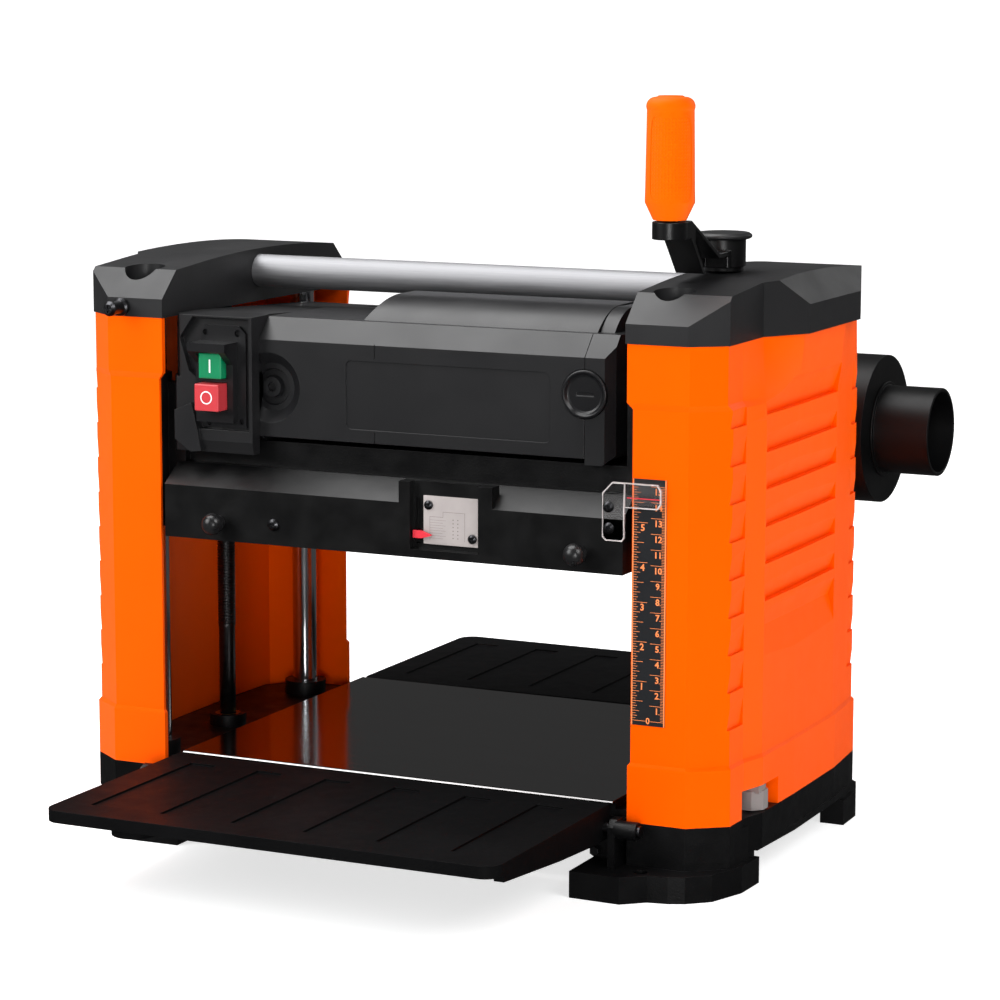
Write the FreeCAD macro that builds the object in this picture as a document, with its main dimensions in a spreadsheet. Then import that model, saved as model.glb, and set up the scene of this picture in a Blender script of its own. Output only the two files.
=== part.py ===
import FreeCAD, Part
import math
import os
import Sketcher

# A bench-top thickness planer: a cast base with a polished bed, two side towers that carry four
# guide columns and two lead screws, and a motor-driven cutter head that a crank raises and lowers.
# Millimetres. X runs to the right along the cutter, Y towards the outfeed side, Z up.
# The origin is on the bench, midway between the towers and midway along the bed.

SIZES = {
    # bed and feed tables
    "bed_width": 318, "bed_depth": 262, "bed_top": 56.5, "bed_thick": 2,
    "table_top": 56, "table_thick": 8, "table_reach": 305, "table_start": 134.5,
    "table_corner": 12, "skirt_thick": 7, "groove_width": 19, "groove_length": 124,
    "groove_pitch": 51, "groove_deep": 1.2,
    "pin_offset": 143, "pin_height": 42, "pin_radius": 4,
    # towers, their caps and the tie tube
    "tower_inner": 170.5, "tower_front": 135, "tower_rear": 131, "tower_side": 240.5,
    "tower_foot": 45.3, "tower_top": 351, "facet_width": 40, "band_step": 1.5,
    "low_band_top": 82, "high_band_foot": 314, "rib_pitch": 24, "rib_first": 107,
    "scoop_first": 183, "cap_peak": 387.6, "cap_eave": 363.5,
    "tube_radius": 11.2, "tube_height": 372.3, "tube_back": 5,
    # base
    "foot_thick": 17.5, "skirt_foot": 22, "deck_top": 50, "base_front": 125,
    "bolt_x": 186, "bolt_y": 148, "bolt_radius": 4.5,
    # guide columns and lead screws
    "column_x": 187, "column_front": 116, "column_rear": 92, "column_radius": 9,
    "screw_y": 22, "screw_radius": 6.5, "journal_radius": 6, "running_gap": 0.05,
    "bush_radius": 9, "sprocket_radius": 20, "sprocket_foot": 22, "sprocket_thick": 6,
    # crank
    "crank_reach": 91, "hub_radius": 14.5, "hub_foot": 391, "hub_top": 409,
    "grip_foot": 427, "grip_top": 504, "grip_radius": 15.7, "spindle_radius": 4,
    # cutter head
    "cut_height": 199.1, "cutter_radius": 24, "cutter_half": 158, "plate_half": 161.5,
    "plate_thick": 7, "plate_foot": 206, "plate_top": 312,
    "roller_y": 58, "roller_radius": 19, "roller_drop": 1,
    "motor_y": 62, "motor_height": 308, "motor_radius": 34, "shaft_radius": 6,
    "belt_x": 212, "belt_width": 10, "belt_thick": 3, "motor_pulley": 14, "cutter_pulley": 21,
    "pulley_width": 14, "pawl_y": 104, "pawl_height": 224, "pawl_rod": 4,
    # apron and covers
    "apron_half": 167, "apron_front": 136.5, "apron_foot": 204.5, "apron_fold": 240,
    "apron_top": 253, "cover_front": 118, "cover_foot": 270, "cover_shoulder": 338.5,
    "cover_crest": 352.5, "cover_left": 106, "cover_right": 132, "cover_end": 151,
    "hump_left": 38, "hump_top": 367, "cover_back": 110, "cover_wall": 3,
    "panel_left": 166, "panel_right": 104, "panel_front": 128,
    "switch_x": 130.8, "start_height": 321.1, "stop_height": 300.6,
    # dust outlet
    "dust_y": 188, "dust_height": 260.8, "drum_radius": 52, "drum_end": 227.8,
    "pipe_radius": 30.9, "pipe_end": 268.6, "dust_wall": 2.5,
    # height scale, pointer and depth stop
    "scale_left": 172.5, "scale_width": 23, "scale_foot": 109, "scale_top": 266.5,
    "turret_x": 229, "turret_y": 68, "turret_radius": 11, "turret_top": 62.8,
}

doc = FreeCAD.newDocument("ThicknessPlaner")
sheet = doc.addObject("Spreadsheet::Sheet", "Sizes")
for row, (alias, number) in enumerate(SIZES.items(), start=1):
    sheet.set(f"A{row}", alias)
    sheet.set(f"B{row}", str(number))
    sheet.setAlias(f"B{row}", alias)
doc.recompute()

pieces = []


# ---------------------------------------------------------------- sizes with their formulas

class Size:
    """A length in millimetres, with the sheet formula that it comes from."""

    def __init__(self, value, formula):
        self.value = value
        self.formula = formula

    def __add__(self, other):
        return join(self, "+", other)

    def __radd__(self, other):
        return join(other, "+", self)

    def __sub__(self, other):
        return join(self, "-", other)

    def __rsub__(self, other):
        return join(other, "-", self)

    def __mul__(self, other):
        return join(self, "*", other)

    __rmul__ = __mul__

    def __truediv__(self, other):
        return join(self, "/", other)

    def __neg__(self):
        return join(0, "-", self)


def as_size(number):
    """A plain number as a Size, or the Size itself."""
    return number if isinstance(number, Size) else Size(float(number), f"({number})")


def join(left, sign, right):
    """Two sizes joined by + - * or /, in value and in formula."""
    a, b = as_size(left), as_size(right)
    if sign == "+":
        value = a.value + b.value
    elif sign == "-":
        value = a.value - b.value
    elif sign == "*":
        value = a.value * b.value
    else:
        value = a.value / b.value
    return Size(value, f"({a.formula} {sign} {b.formula})")


def cell(alias):
    """The Size held in a cell of the sheet."""
    return Size(float(SIZES[alias]), f"Sizes.{alias}")


def bind(thing, path, size):
    """Drive one property of an object from the sheet."""
    thing.setExpression(path, as_size(size).formula)


# ---------------------------------------------------------------- sketches and features

class Arc:
    """An outline's round stretch: it leaves the point before it, passes mid and ends at end."""

    def __init__(self, mid, end):
        self.mid = mid
        self.end = end


def new_body(name):
    """A PartDesign body whose Label names the piece."""
    body = doc.addObject("PartDesign::Body", name)
    body.Label = name
    body.Placement = FreeCAD.Placement()
    body.AllowCompound = True
    pieces.append(body)
    return body


def origin_item(body, role):
    """The body's own origin plane or axis with this role."""
    return next(item for item in body.Origin.OriginFeatures if item.Role == role)


def new_sketch(body, plane, level, origin=(0, 0)):
    """A sketch on the body's own XY, XZ or YZ plane, moved to a level along the third axis."""
    sketch = body.newObject("Sketcher::SketchObject", body.Label + "_outline")
    sketch.AttachmentSupport = [(origin_item(body, plane + "_Plane"), "")]
    sketch.MapMode = "FlatFace"
    depth = -as_size(level) if plane == "XZ" else as_size(level)
    shift = (as_size(origin[0]), as_size(origin[1]), depth)
    sketch.AttachmentOffset = FreeCAD.Placement(
        FreeCAD.Vector(*[part.value for part in shift]), FreeCAD.Rotation())
    for letter, part in zip("xyz", shift):
        bind(sketch, "AttachmentOffset.Base." + letter, part)
    return sketch


def pin_point(sketch, line, end, point):
    """Fix one end of a line, or a circle's centre, by its two distances from the origin."""
    for kind, distance in zip(("DistanceX", "DistanceY"), point):
        distance = as_size(distance)
        index = sketch.addConstraint(
            Sketcher.Constraint(kind, -1, 1, line, end, distance.value))
        if "Sizes" in distance.formula:
            bind(sketch, f"Constraints[{index}]", distance)


def flat(point):
    """A sketch point as a FreeCAD vector."""
    return FreeCAD.Vector(as_size(point[0]).value, as_size(point[1]).value, 0)


def turns_left(start, mid, end):
    """Whether the way from start through mid to end bends to the left."""
    a, b = flat(mid) - flat(start), flat(end) - flat(mid)
    return a.x * b.y - a.y * b.x > 0


def draw_outline(sketch, outline):
    """A closed loop of straight lines and arcs through the outline's points."""
    ends = [item.end if isinstance(item, Arc) else item for item in outline]
    first = sketch.GeometryCount
    tips = []
    for index, item in enumerate(outline):
        before = ends[index - 1]
        if not isinstance(item, Arc):
            sketch.addGeometry(Part.LineSegment(flat(before), flat(item)), False)
            tips.append((1, 2))
        elif turns_left(before, item.mid, item.end):
            sketch.addGeometry(Part.Arc(flat(before), flat(item.mid), flat(item.end)), False)
            tips.append((1, 2))
        else:
            sketch.addGeometry(Part.Arc(flat(item.end), flat(item.mid), flat(before)), False)
            tips.append((2, 1))
    total = len(outline)
    for index in range(total):
        follower = (index + 1) % total
        sketch.addConstraint(Sketcher.Constraint(
            "Coincident", first + index, tips[index][1], first + follower, tips[follower][0]))
    for index in range(total):
        pin_point(sketch, first + index, tips[index][1], ends[index])


def draw_circle(sketch, circle):
    """A circle given as (x, y, radius)."""
    x, y, radius = circle
    radius = as_size(radius)
    index = sketch.addGeometry(
        Part.Circle(flat((x, y)), FreeCAD.Vector(0, 0, 1), radius.value), False)
    pin_point(sketch, index, 3, (x, y))
    number = sketch.addConstraint(Sketcher.Constraint("Radius", index, radius.value))
    bind(sketch, f"Constraints[{number}]", radius)


def draw(sketch, loops):
    """Every loop of a sketch: a list is an outline, a tuple is a circle."""
    for loop in loops:
        if isinstance(loop, tuple):
            draw_circle(sketch, loop)
        else:
            draw_outline(sketch, loop)


def extrude(kind, body, plane, loops, start, end):
    """A Pad or Pocket over the loops, from start to end along the plane's third axis."""
    start, end = as_size(start), as_size(end)
    at_start = (kind == "Pad") != (plane == "XZ")
    sketch = new_sketch(body, plane, start if at_start else end)
    draw(sketch, loops)
    feature = body.newObject("PartDesign::" + kind, body.Label + "_" + kind.lower())
    feature.Profile = sketch
    bind(feature, "Length", end - start)
    return feature


def pad(body, plane, loops, start, end):
    """Material over the loops between two levels."""
    return extrude("Pad", body, plane, loops, start, end)


def pocket(body, plane, loops, start, end):
    """A cut over the loops between two levels."""
    return extrude("Pocket", body, plane, loops, start, end)


def turn(kind, body, axis, centre, profile):
    """A Revolution or Groove about an axis along X, Y or Z through the centre.

    The centre gives the two other coordinates in order. A profile point is
    (distance along the axis, radius)."""
    if axis == "Z":
        sketch = new_sketch(body, "XZ", centre[1], (centre[0], 0))
        draw(sketch, [[(radius, along) for along, radius in profile]])
        line = "V_Axis"
    elif axis == "X":
        sketch = new_sketch(body, "XZ", centre[0], (0, centre[1]))
        draw(sketch, [profile])
        line = "H_Axis"
    else:
        sketch = new_sketch(body, "YZ", centre[0], (0, centre[1]))
        draw(sketch, [profile])
        line = "H_Axis"
    feature = body.newObject("PartDesign::" + kind, body.Label + "_" + kind.lower())
    feature.Profile = sketch
    feature.ReferenceAxis = (sketch, [line])
    feature.Angle = 360
    return feature


def revolve(body, axis, centre, profile):
    """Turned material about an axis."""
    return turn("Revolution", body, axis, centre, profile)


def groove(body, axis, centre, profile):
    """A turned cut about an axis."""
    return turn("Groove", body, axis, centre, profile)


def rod(start, end, radius, bore=0):
    """The turned profile of a plain rod, or of a tube when it has a bore."""
    return [(start, bore), (end, bore), (end, radius), (start, radius)]


def loft(body, levels):
    """A ruled loft through horizontal outlines, given as (height, outline) pairs."""
    sketches = []
    for height, outline in levels:
        sketch = new_sketch(body, "XY", height)
        draw(sketch, [outline])
        sketches.append(sketch)
    feature = body.newObject("PartDesign::AdditiveLoft", body.Label + "_loft")
    feature.Profile = sketches[0]
    feature.Sections = sketches[1:]
    feature.Ruled = True
    return feature


def repeat(body, features, axis, step, count):
    """A linear pattern of features along one of the body's own axes."""
    pattern = body.newObject("PartDesign::LinearPattern", body.Label + "_pattern")
    pattern.Originals = features
    pattern.Direction = (origin_item(body, axis + "_Axis"), [""])
    bind(pattern, "Length", as_size(step) * (count - 1))
    pattern.Occurrences = count
    body.Tip = pattern
    return pattern


def round_edges(body, radius, chosen):
    """A fillet on the edges of the body's tip that the test picks."""
    doc.recompute()
    base = body.Tip
    names = [f"Edge{number}" for number, edge in enumerate(base.Shape.Edges, start=1)
             if chosen(edge)]
    feature = body.newObject("PartDesign::Fillet", body.Label + "_fillet")
    feature.Base = (base, names)
    bind(feature, "Radius", radius)
    return feature


def upright_near(points):
    """A test for straight vertical edges that stand at one of the given (x, y) points."""
    def test(edge):
        box = edge.BoundBox
        upright = box.ZLength > 1 and box.XLength < 1e-3 and box.YLength < 1e-3
        return upright and any(math.hypot(box.XMin - x, box.YMin - y) < 0.5 for x, y in points)
    return test


def rectangle(x_low, y_low, x_high, y_high):
    """A rectangle's four corners."""
    return [(x_low, y_low), (x_high, y_low), (x_high, y_high), (x_low, y_high)]


def cross(x, y, reach, half):
    """The outline of a cross recess."""
    return [(x - half, y - reach), (x + half, y - reach), (x + half, y - half),
            (x + reach, y - half), (x + reach, y + half), (x + half, y + half),
            (x + half, y + reach), (x - half, y + reach), (x - half, y + half),
            (x - reach, y + half), (x - reach, y - half), (x - half, y - half)]


def rounded_rectangle(x_low, y_low, x_high, y_high, radius):
    """A rectangle with rounded corners, walked anticlockwise."""
    near = radius * (1 - math.sqrt(0.5))
    return [(x_high - radius, y_low),
            Arc((x_high - near, y_low + near), (x_high, y_low + radius)),
            (x_high, y_high - radius),
            Arc((x_high - near, y_high - near), (x_high - radius, y_high)),
            (x_low + radius, y_high),
            Arc((x_low + near, y_high - near), (x_low, y_high - radius)),
            (x_low, y_low + radius),
            Arc((x_low + near, y_low + near), (x_low + radius, y_low))]


def flipped(outline, side):
    """An outline for the right-hand side, mirrored to the left when side is -1."""
    if side == 1:
        return outline
    return [(-x, y) for x, y in outline]


def shape_piece(name, shape):
    """A piece whose solid is built directly from curves that no sketch here draws."""
    piece = doc.addObject("Part::Feature", name)
    piece.Label = name
    piece.Shape = shape
    piece.Placement = FreeCAD.Placement()
    pieces.append(piece)
    return piece


# ---------------------------------------------------------------- base and bed

inner, front, rear, side_x = (cell("tower_" + word) for word in ("inner", "front", "rear", "side"))
column_x, screw_y = cell("column_x"), -cell("screw_y")
COLUMNS = [(side * column_x, y) for side in (-1, 1)
           for y in (-cell("column_front"), cell("column_rear"))]
SCREWS = [(side * column_x, screw_y) for side in (-1, 1)]


def tower_outline(inset=0):
    """The plan of the right-hand tower, walked from its inner front corner to its inner rear."""
    x = side_x - inset
    y_front, y_rear = -front + inset, rear - inset
    return [(inner + inset, y_front), (inner + cell("facet_width") - inset / 2, y_front),
            (x - 6.5, y_front + 17.5), (x - 6, y_front + 39.5), (x - 0.8, y_front + 60),
            (x, y_front + 115), (x - 0.8, y_rear - 71), (x - 6, y_rear - 18),
            (x - 28, y_rear), (inner + inset, y_rear)]


def base_casting():
    """Cast base: skirts under both towers, four splayed feet, a deck and column bosses."""
    body = new_body("base_casting")
    y_front = cell("base_front")
    right = tower_outline()
    left = flipped(right, -1)[::-1]
    whole = [(inner - 1, -y_front)] + right + [(inner - 1, y_front)]
    whole += [(1 - inner, y_front)] + left + [(1 - inner, -y_front)]
    foot, skirt, deck = cell("foot_thick"), cell("skirt_foot"), cell("deck_top")
    pad(body, "XY", [whole], skirt, cell("tower_foot"))
    tray = [(228, -100), (205, -y_front + 5), (-205, -y_front + 5), (-228, -100), (-231, -20),
            (-231, 55), (-226, 102), (-205, y_front - 5), (205, y_front - 5), (226, 102),
            (231, 55), (231, -20)]
    pocket(body, "XY", [tray], skirt, 38)
    deck_half = [(208, -y_front + 1), (225, -108), (226, -60), (228, -20), (228, 58), (226, 100),
                 (208, y_front - 2)]
    pad(body, "XY", [deck_half + flipped(deck_half, -1)[::-1]], 44, deck)
    half = cell("bed_width") / 2
    pad(body, "XY", [rectangle(1 - half, 1 - y_front, half - 1, y_front - 1)], 49,
        cell("bed_top") - cell("bed_thick"))
    for side in (-1, 1):
        for end in (-1, 1):
            limit = front if end == -1 else rear
            toe = [(144, 165), (179, 166), (193, 154), (206, 151.5), (216, 147), (229.5, 135),
                   (239, 108), (240, 80), (223, 80), (223, 118), (144, 118)]
            pad(body, "XY", [[(side * x, end * y) for x, y in toe]], 0, foot)
            heel = [(144, y_front), (inner - 1, y_front), (inner, limit),
                    (inner + cell("facet_width"), limit), (233.5, limit - 18), (236.5, 84),
                    (236.5, 80), (223, 80), (223, 112), (144, 112)]
            pad(body, "XY", [[(side * x, end * y) for x, y in heel]], foot - 1, 40)
        bead = [(236, -80), (238.6, -80), (241.9, -20), (240.9, 60), (238, 92), (235, 92)]
        pad(body, "XY", [flipped(bead, side)], skirt - 1, skirt + 3)
    pad(body, "XY", [(x, y, 15) for x, y in COLUMNS], deck - 5, deck + 10)
    pad(body, "XY", [(x, y, 13) for x, y in SCREWS], 30, deck + 8)
    turret_x, turret_y = cell("turret_x"), -cell("turret_y")
    pocket(body, "XY", [(turret_x, turret_y, cell("turret_radius") + 1.5)],
           cell("tower_foot") + 0.5, deck + 1)
    pad(body, "XY", [(turret_x, turret_y, 3)], deck - 10, deck + 10)
    pocket(body, "XY", [(x, y, cell("column_radius")) for x, y in COLUMNS], 40, deck + 20)
    pocket(body, "XY", [(x, y, cell("bush_radius")) for x, y in SCREWS], 20, deck + 20)
    holes = [(side * cell("bolt_x"), end * cell("bolt_y"), cell("bolt_radius"))
             for side in (-1, 1) for end in (-1, 1)]
    pocket(body, "XY", holes, -1, foot + 1)


def bed_plate():
    """Polished bed plate, with its front and rear edges turned down."""
    body = new_body("bed_plate")
    half_x, half_y = cell("bed_width") / 2, cell("bed_depth") / 2
    top, thick = cell("bed_top"), cell("bed_thick")
    section = [(-half_y, top - 1.6), Arc((-half_y + 0.47, top - 0.47), (-half_y + 1.6, top)),
               (half_y - 1.6, top), Arc((half_y - 0.47, top - 0.47), (half_y, top - 1.6)),
               (half_y, top - thick), (-half_y, top - thick)]
    pad(body, "YZ", [section], -half_x, half_x)


# ---------------------------------------------------------------- towers and caps

def tower_shell(name, side):
    """Moulded tower cover: stepped bands, a ribbed side panel, and an open inner side."""
    body = new_body(name)
    step = cell("band_step")
    low, mid = tower_outline(), tower_outline(step)
    high = tower_outline()
    high[0] = (inner - 2, -front)
    high[2:8] = [(side_x - 10.5, -front + 15.5), (side_x - 10.5, -front + 40),
                 (side_x - 10, -front + 73), (side_x + 7, -30), (side_x + 6.5, 45),
                 (side_x - 7, rear - 24)]
    high[9] = (inner - 2, rear)

    def blend(share):
        return [(a[0] * (1 - share) + b[0] * share, a[1] * (1 - share) + b[1] * share)
                for a, b in zip(mid, high)]

    below = mid[:4] + blend(0.12)[4:]
    above = high[:4] + blend(0.24)[4:]
    levels = [(cell("tower_foot"), low), (cell("low_band_top"), low),
              (cell("low_band_top") + 2, mid), (300, mid), (cell("high_band_foot") - 4, below),
              (cell("high_band_foot"), above), (cell("tower_top"), high)]
    loft(body, [(height, flipped(outline, side)) for height, outline in levels])
    hollow = [(150, 4 - front), (209, 4 - front), (226.5, 20 - front), (227.5, -60), (230, -20),
              (230, 58), (228, rear - 20), (210, rear - 3.5), (150, rear - 3.5)]
    pocket(body, "XY", [flipped(hollow, side)], 40, 360)
    pitch, first, ledge = cell("rib_pitch"), cell("rib_first"), cell("scoop_first")
    rib = [(side_x + 9, first + 20), (side_x + 9, first), (side_x - 9.6, first),
           (side_x - 7.3, first + 20)]
    cut = pocket(body, "XZ", [flipped(rib, side)], 17 - front, 40 - front)
    repeat(body, [cut], "Z", pitch, 9)
    rib = [(side_x + 9, first + 20), (side_x + 9, first), (side_x - 9, first),
           (side_x - 6, first + 20)]
    cut = pocket(body, "XZ", [flipped(rib, side)], 97, 140)
    repeat(body, [cut], "Z", pitch, 9)
    scoop = [(side_x + 12, ledge + 20), (side_x + 12, ledge), (side_x - 6, ledge),
             (side_x + 0.5, ledge + 20)]
    cut = pocket(body, "XZ", [flipped(scoop, side)], -72, 57)
    repeat(body, [cut], "Z", pitch, 6)
    sill = [(side_x + 12, ledge - 5), (side_x + 12, ledge - 40), (side_x - 1.2, ledge - 40),
            (side_x - 6, ledge - 17), (side_x - 2, ledge - 5)]
    pocket(body, "XZ", [flipped(sill, side)], -72, 57)
    if side == 1:
        notch = rectangle(215, -98, 250, -48)
        pocket(body, "XY", [notch], 40, 63.5)


NOSE_SCREWS = {-1: (-195.3, -111), 1: (189, -108)}


def top_cap(name, side):
    """Cap over a tower: sloped nose, arched roof, side wing, sockets for columns and screw."""
    body = new_body(name)
    foot, peak = cell("tower_top"), cell("cap_peak")
    plan = [(inner - 3, -front - 1), (inner + 39, -front - 1), (side_x - 9.5, -front + 15),
            (side_x - 9.5, -front + 72.5), (side_x + 10, -31), (side_x + 10, 66),
            (side_x - 2.5, rear - 29), (side_x - 28, rear + 1), (inner - 3, rear + 1)]
    pad(body, "XY", [flipped(plan, side)], foot, peak + 4)
    roof = [(-front - 6, cell("cap_eave")), (-front - 1, cell("cap_eave")),
            (-117, peak - 6), (-74, peak - 2.6), Arc((15, peak), (104, peak - 4.4)),
            (rear + 1, peak - 30), (rear + 9, peak - 30), (rear + 9, peak + 9),
            (-front - 6, peak + 9)]
    pocket(body, "YZ", [roof], -260, 260)
    slope = [(side_x - 5, peak + 1), (side_x + 10, 370), (side_x + 20, 370),
             (side_x + 20, peak + 9), (side_x - 5, peak + 9)]
    pocket(body, "XZ", [flipped(slope, side)], -front - 9, rear + 9)
    hollow = [(inner + 1, -88), (226, -88), (227, -60), (243, -28), (243, 60), (232, 98),
              (205, 112), (inner + 1, 112)]
    pocket(body, "XY", [flipped(hollow, side)], foot - 1, 372)
    sockets = [(side * column_x, cell("column_rear"), 13), (side * column_x, screw_y, 13)]
    pad(body, "XY", sockets, foot, 375)
    bores = [(side * column_x, y, cell("column_radius"))
             for y in (-cell("column_front"), cell("column_rear"))]
    pocket(body, "XY", bores, foot - 1, 355.4)
    pocket(body, "XY", [(side * column_x, screw_y, cell("bush_radius"))], foot - 1, 376)
    if side == 1:
        pocket(body, "XY", [(column_x, screw_y, 7)], 370, peak + 5)
    x, y = NOSE_SCREWS[side]
    pocket(body, "XY", [(x, y, 13.5)], 358, peak + 9)
    pocket(body, "XY", [(x, y, 2)], 355, 359)
    if side == -1:
        pocket(body, "XZ", [(-198.5, 357.3, 2)], -front - 2, -front + 8)


def cap_screws():
    """A screw deep in each cap's nose, and the left cap's stand-off stud with its screw."""
    body = new_body("cap_screws")
    for x, y in NOSE_SCREWS.values():
        revolve(body, "Z", (x, y),
                [(355.5, 0), (355.5, 2), (358, 2), (358, 5), (360, 5), (361.5, 3), (361.5, 0)])
        pocket(body, "XY", [cross(x, y, 2.2, 0.5)], 360.2, 362)
    face = -front - 1
    revolve(body, "Y", (-198.5, 357.3),
            [(face + 5, 0), (face + 5, 2), (face, 2), (face, 6), (face - 3, 6), (face - 4, 4.4),
             (face - 13.5, 3.8), (face - 13.5, 5), (face - 16, 5), (face - 18, 3.2),
             (face - 18, 0)])
    pocket(body, "XZ", [cross(-198.5, 357.3, 2.6, 0.55)], face - 19, face - 16.4)


def cross_tube():
    """Aluminium tie and carrying tube between the caps."""
    body = new_body("cross_tube")
    reach = cell("tower_inner") - 3
    radius = cell("tube_radius")
    centre = (-cell("tube_back"), cell("tube_height"))
    revolve(body, "X", centre, rod(-reach, reach, radius, radius - 2))


# ---------------------------------------------------------------- columns, screws and crank

def guide_columns():
    """Four ground columns that the head slides on."""
    body = new_body("guide_columns")
    pad(body, "XY", [(x, y, cell("column_radius")) for x, y in COLUMNS], 40, 355.4)


def lead_screw(name, side, top):
    """Lead screw: a plain lower shank, the threaded length, and the upper journal."""
    body = new_body(name)
    shank, thread = cell("journal_radius") - 0.25, cell("screw_radius")
    journal = cell("journal_radius")
    centre = (side * column_x, screw_y)
    profile = [(18, 0), (top, 0), (top, journal), (345, journal), (345, thread), (122, thread),
               (120, shank), (18, shank)]
    revolve(body, "Z", centre, profile)
    crest, pitch = thread + 1, 4
    ring = groove(body, "Z", centre, [(126, crest), (126, thread), (127, thread - 0.6),
                                      (128, thread), (128, crest)])
    repeat(body, [ring], "Z", pitch, 54)


def screw_bushings():
    """Bronze bushes for both lead screws, in the base and in the caps."""
    body = new_body("screw_bushings")
    gap, journal = cell("running_gap"), cell("journal_radius")
    for centre in SCREWS:
        revolve(body, "Z", centre,
                rod(36, cell("deck_top") + 8, cell("bush_radius"), journal - 0.25 + gap))
        revolve(body, "Z", centre, rod(cell("tower_top"), 370, cell("bush_radius"), journal + gap))


TEETH = 16


def sprocket(name, side):
    """Chain sprocket under the base, on the foot of a lead screw."""
    body = new_body(name)
    radius, foot, thick = (cell("sprocket_" + word) for word in ("radius", "foot", "thick"))
    centre = (side * column_x, screw_y)
    bore = cell("journal_radius") - 0.25
    rim = []
    for tooth in range(TEETH):
        for turn_share, reach in ((-0.3, -3), (-0.12, 0), (0.12, 0), (0.3, -3)):
            angle = 2 * math.pi * (tooth + turn_share) / TEETH
            rim.append((centre[0] + (radius + reach) * math.cos(angle),
                        centre[1] + (radius + reach) * math.sin(angle)))
    pad(body, "XY", [rim, (centre[0], centre[1], bore)], foot, foot + thick)


def loop_wire(near, near_radius, far, far_radius, across, level):
    """A closed belt line round two wheels, in the plane of the two directions in across."""
    first, second = across
    gap = [far[0] - near[0], far[1] - near[1]]
    span = math.hypot(*gap)
    lean = math.atan2(gap[1], gap[0])
    wrap = math.acos((near_radius - far_radius) / span)

    def place(centre, radius, angle):
        return (level + first * (centre[0] + radius * math.cos(angle))
                + second * (centre[1] + radius * math.sin(angle)))

    corners = [place(near, near_radius, lean + wrap), place(near, near_radius, lean - wrap),
               place(far, far_radius, lean - wrap), place(far, far_radius, lean + wrap)]
    near_back = place(near, near_radius, lean + math.pi)
    far_back = place(far, far_radius, lean)
    return Part.Wire([Part.Arc(corners[0], near_back, corners[1]).toShape(),
                      Part.LineSegment(corners[1], corners[2]).toShape(),
                      Part.Arc(corners[2], far_back, corners[3]).toShape(),
                      Part.LineSegment(corners[3], corners[0]).toShape()])


def belt_solid(near, near_radius, far, far_radius, thick, across, level, width):
    """The solid of a belt or chain of some thickness and width round two wheels."""
    outer = loop_wire(near, near_radius + thick, far, far_radius + thick, across, level)
    inside = loop_wire(near, near_radius, far, far_radius, across, level)
    band = Part.Face(outer).cut(Part.Face(inside))
    return band.extrude(width).Solids[0]


def sync_chain():
    """Chain under the base that turns both lead screws together."""
    radius = SIZES["sprocket_radius"] + 0.5
    level = FreeCAD.Vector(0, 0, SIZES["sprocket_foot"] + 1)
    centre_y = -SIZES["screw_y"]
    across = (FreeCAD.Vector(1, 0, 0), FreeCAD.Vector(0, 1, 0))
    width = FreeCAD.Vector(0, 0, SIZES["sprocket_thick"] - 2)
    near, far = (-SIZES["column_x"], centre_y), (SIZES["column_x"], centre_y)
    shape_piece("sync_chain", belt_solid(near, radius, far, radius, 4, across, level, width))


def crank_arm():
    """Crank: a hub on the right-hand screw, a rising arm and the grip's spindle."""
    body = new_body("crank_arm")
    foot, top, reach = cell("hub_foot"), cell("hub_top"), cell("crank_reach")
    centre = (column_x, screw_y)
    bore = cell("journal_radius")
    revolve(body, "Z", centre,
            [(388.2, bore), (388.2, 13), (foot, 13), (foot, cell("hub_radius")),
             (top, cell("hub_radius")), (top, bore)])
    grip_y = screw_y - reach
    arm = [(screw_y - 9, foot), (grip_y + 33, foot), (grip_y + 12, 415), (grip_y - 1, 415),
           (grip_y - 1, 426), (grip_y + 14, 426), (screw_y - 30, foot + 11),
           (screw_y - 9, foot + 11)]
    pad(body, "YZ", [arm], column_x - 9.5, column_x + 9.5)
    channel = [(screw_y - 16, foot - 2), (grip_y + 39, foot - 2), (grip_y + 20, 412),
               (grip_y + 20, 420), (screw_y - 30.8, foot + 7.6), (screw_y - 16, foot + 7.6)]
    pocket(body, "YZ", [channel], column_x - 6.5, column_x + 11)
    revolve(body, "Z", (column_x, grip_y), rod(415, 426, 11))
    revolve(body, "Z", (column_x, grip_y), rod(424, 492, cell("spindle_radius")))


def crank_cap():
    """Round cap on top of the crank hub."""
    body = new_body("crank_cap")
    top = cell("hub_top")
    revolve(body, "Z", (column_x, screw_y),
            [(top, 0), (top, 17), (top + 1, 18.5), (top + 2.6, 18.5), (top + 4, 16.5),
             (top + 4, 0)])


def crank_grip():
    """Grip that spins on the crank's spindle: a tapered foot and a rounded top."""
    body = new_body("crank_grip")
    foot, top, radius = cell("grip_foot"), cell("grip_top"), cell("grip_radius")
    bore = cell("spindle_radius") + cell("running_gap")
    profile = [(foot, bore), (foot, 10.5), (foot + 11, radius), (foot + 20, radius - 0.2),
               (top - 9, radius - 0.9), Arc((top - 2.2, radius - 2.6), (top - 1, radius - 7)),
               (top, radius - 8), (top - 1.5, radius - 10), (top - 1.5, 0), (493, 0), (493, bore)]
    grip_y = screw_y - cell("crank_reach")
    sketch = new_sketch(body, "XZ", grip_y, (column_x, 0))
    draw(sketch, [[Arc((p.mid[1], p.mid[0]), (p.end[1], p.end[0])) if isinstance(p, Arc)
                   else (p[1], p[0]) for p in profile]])
    feature = body.newObject("PartDesign::Revolution", "crank_grip_revolution")
    feature.Profile = sketch
    feature.ReferenceAxis = (sketch, ["V_Axis"])
    feature.Angle = 360


# ---------------------------------------------------------------- feed tables and their hinges

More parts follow.
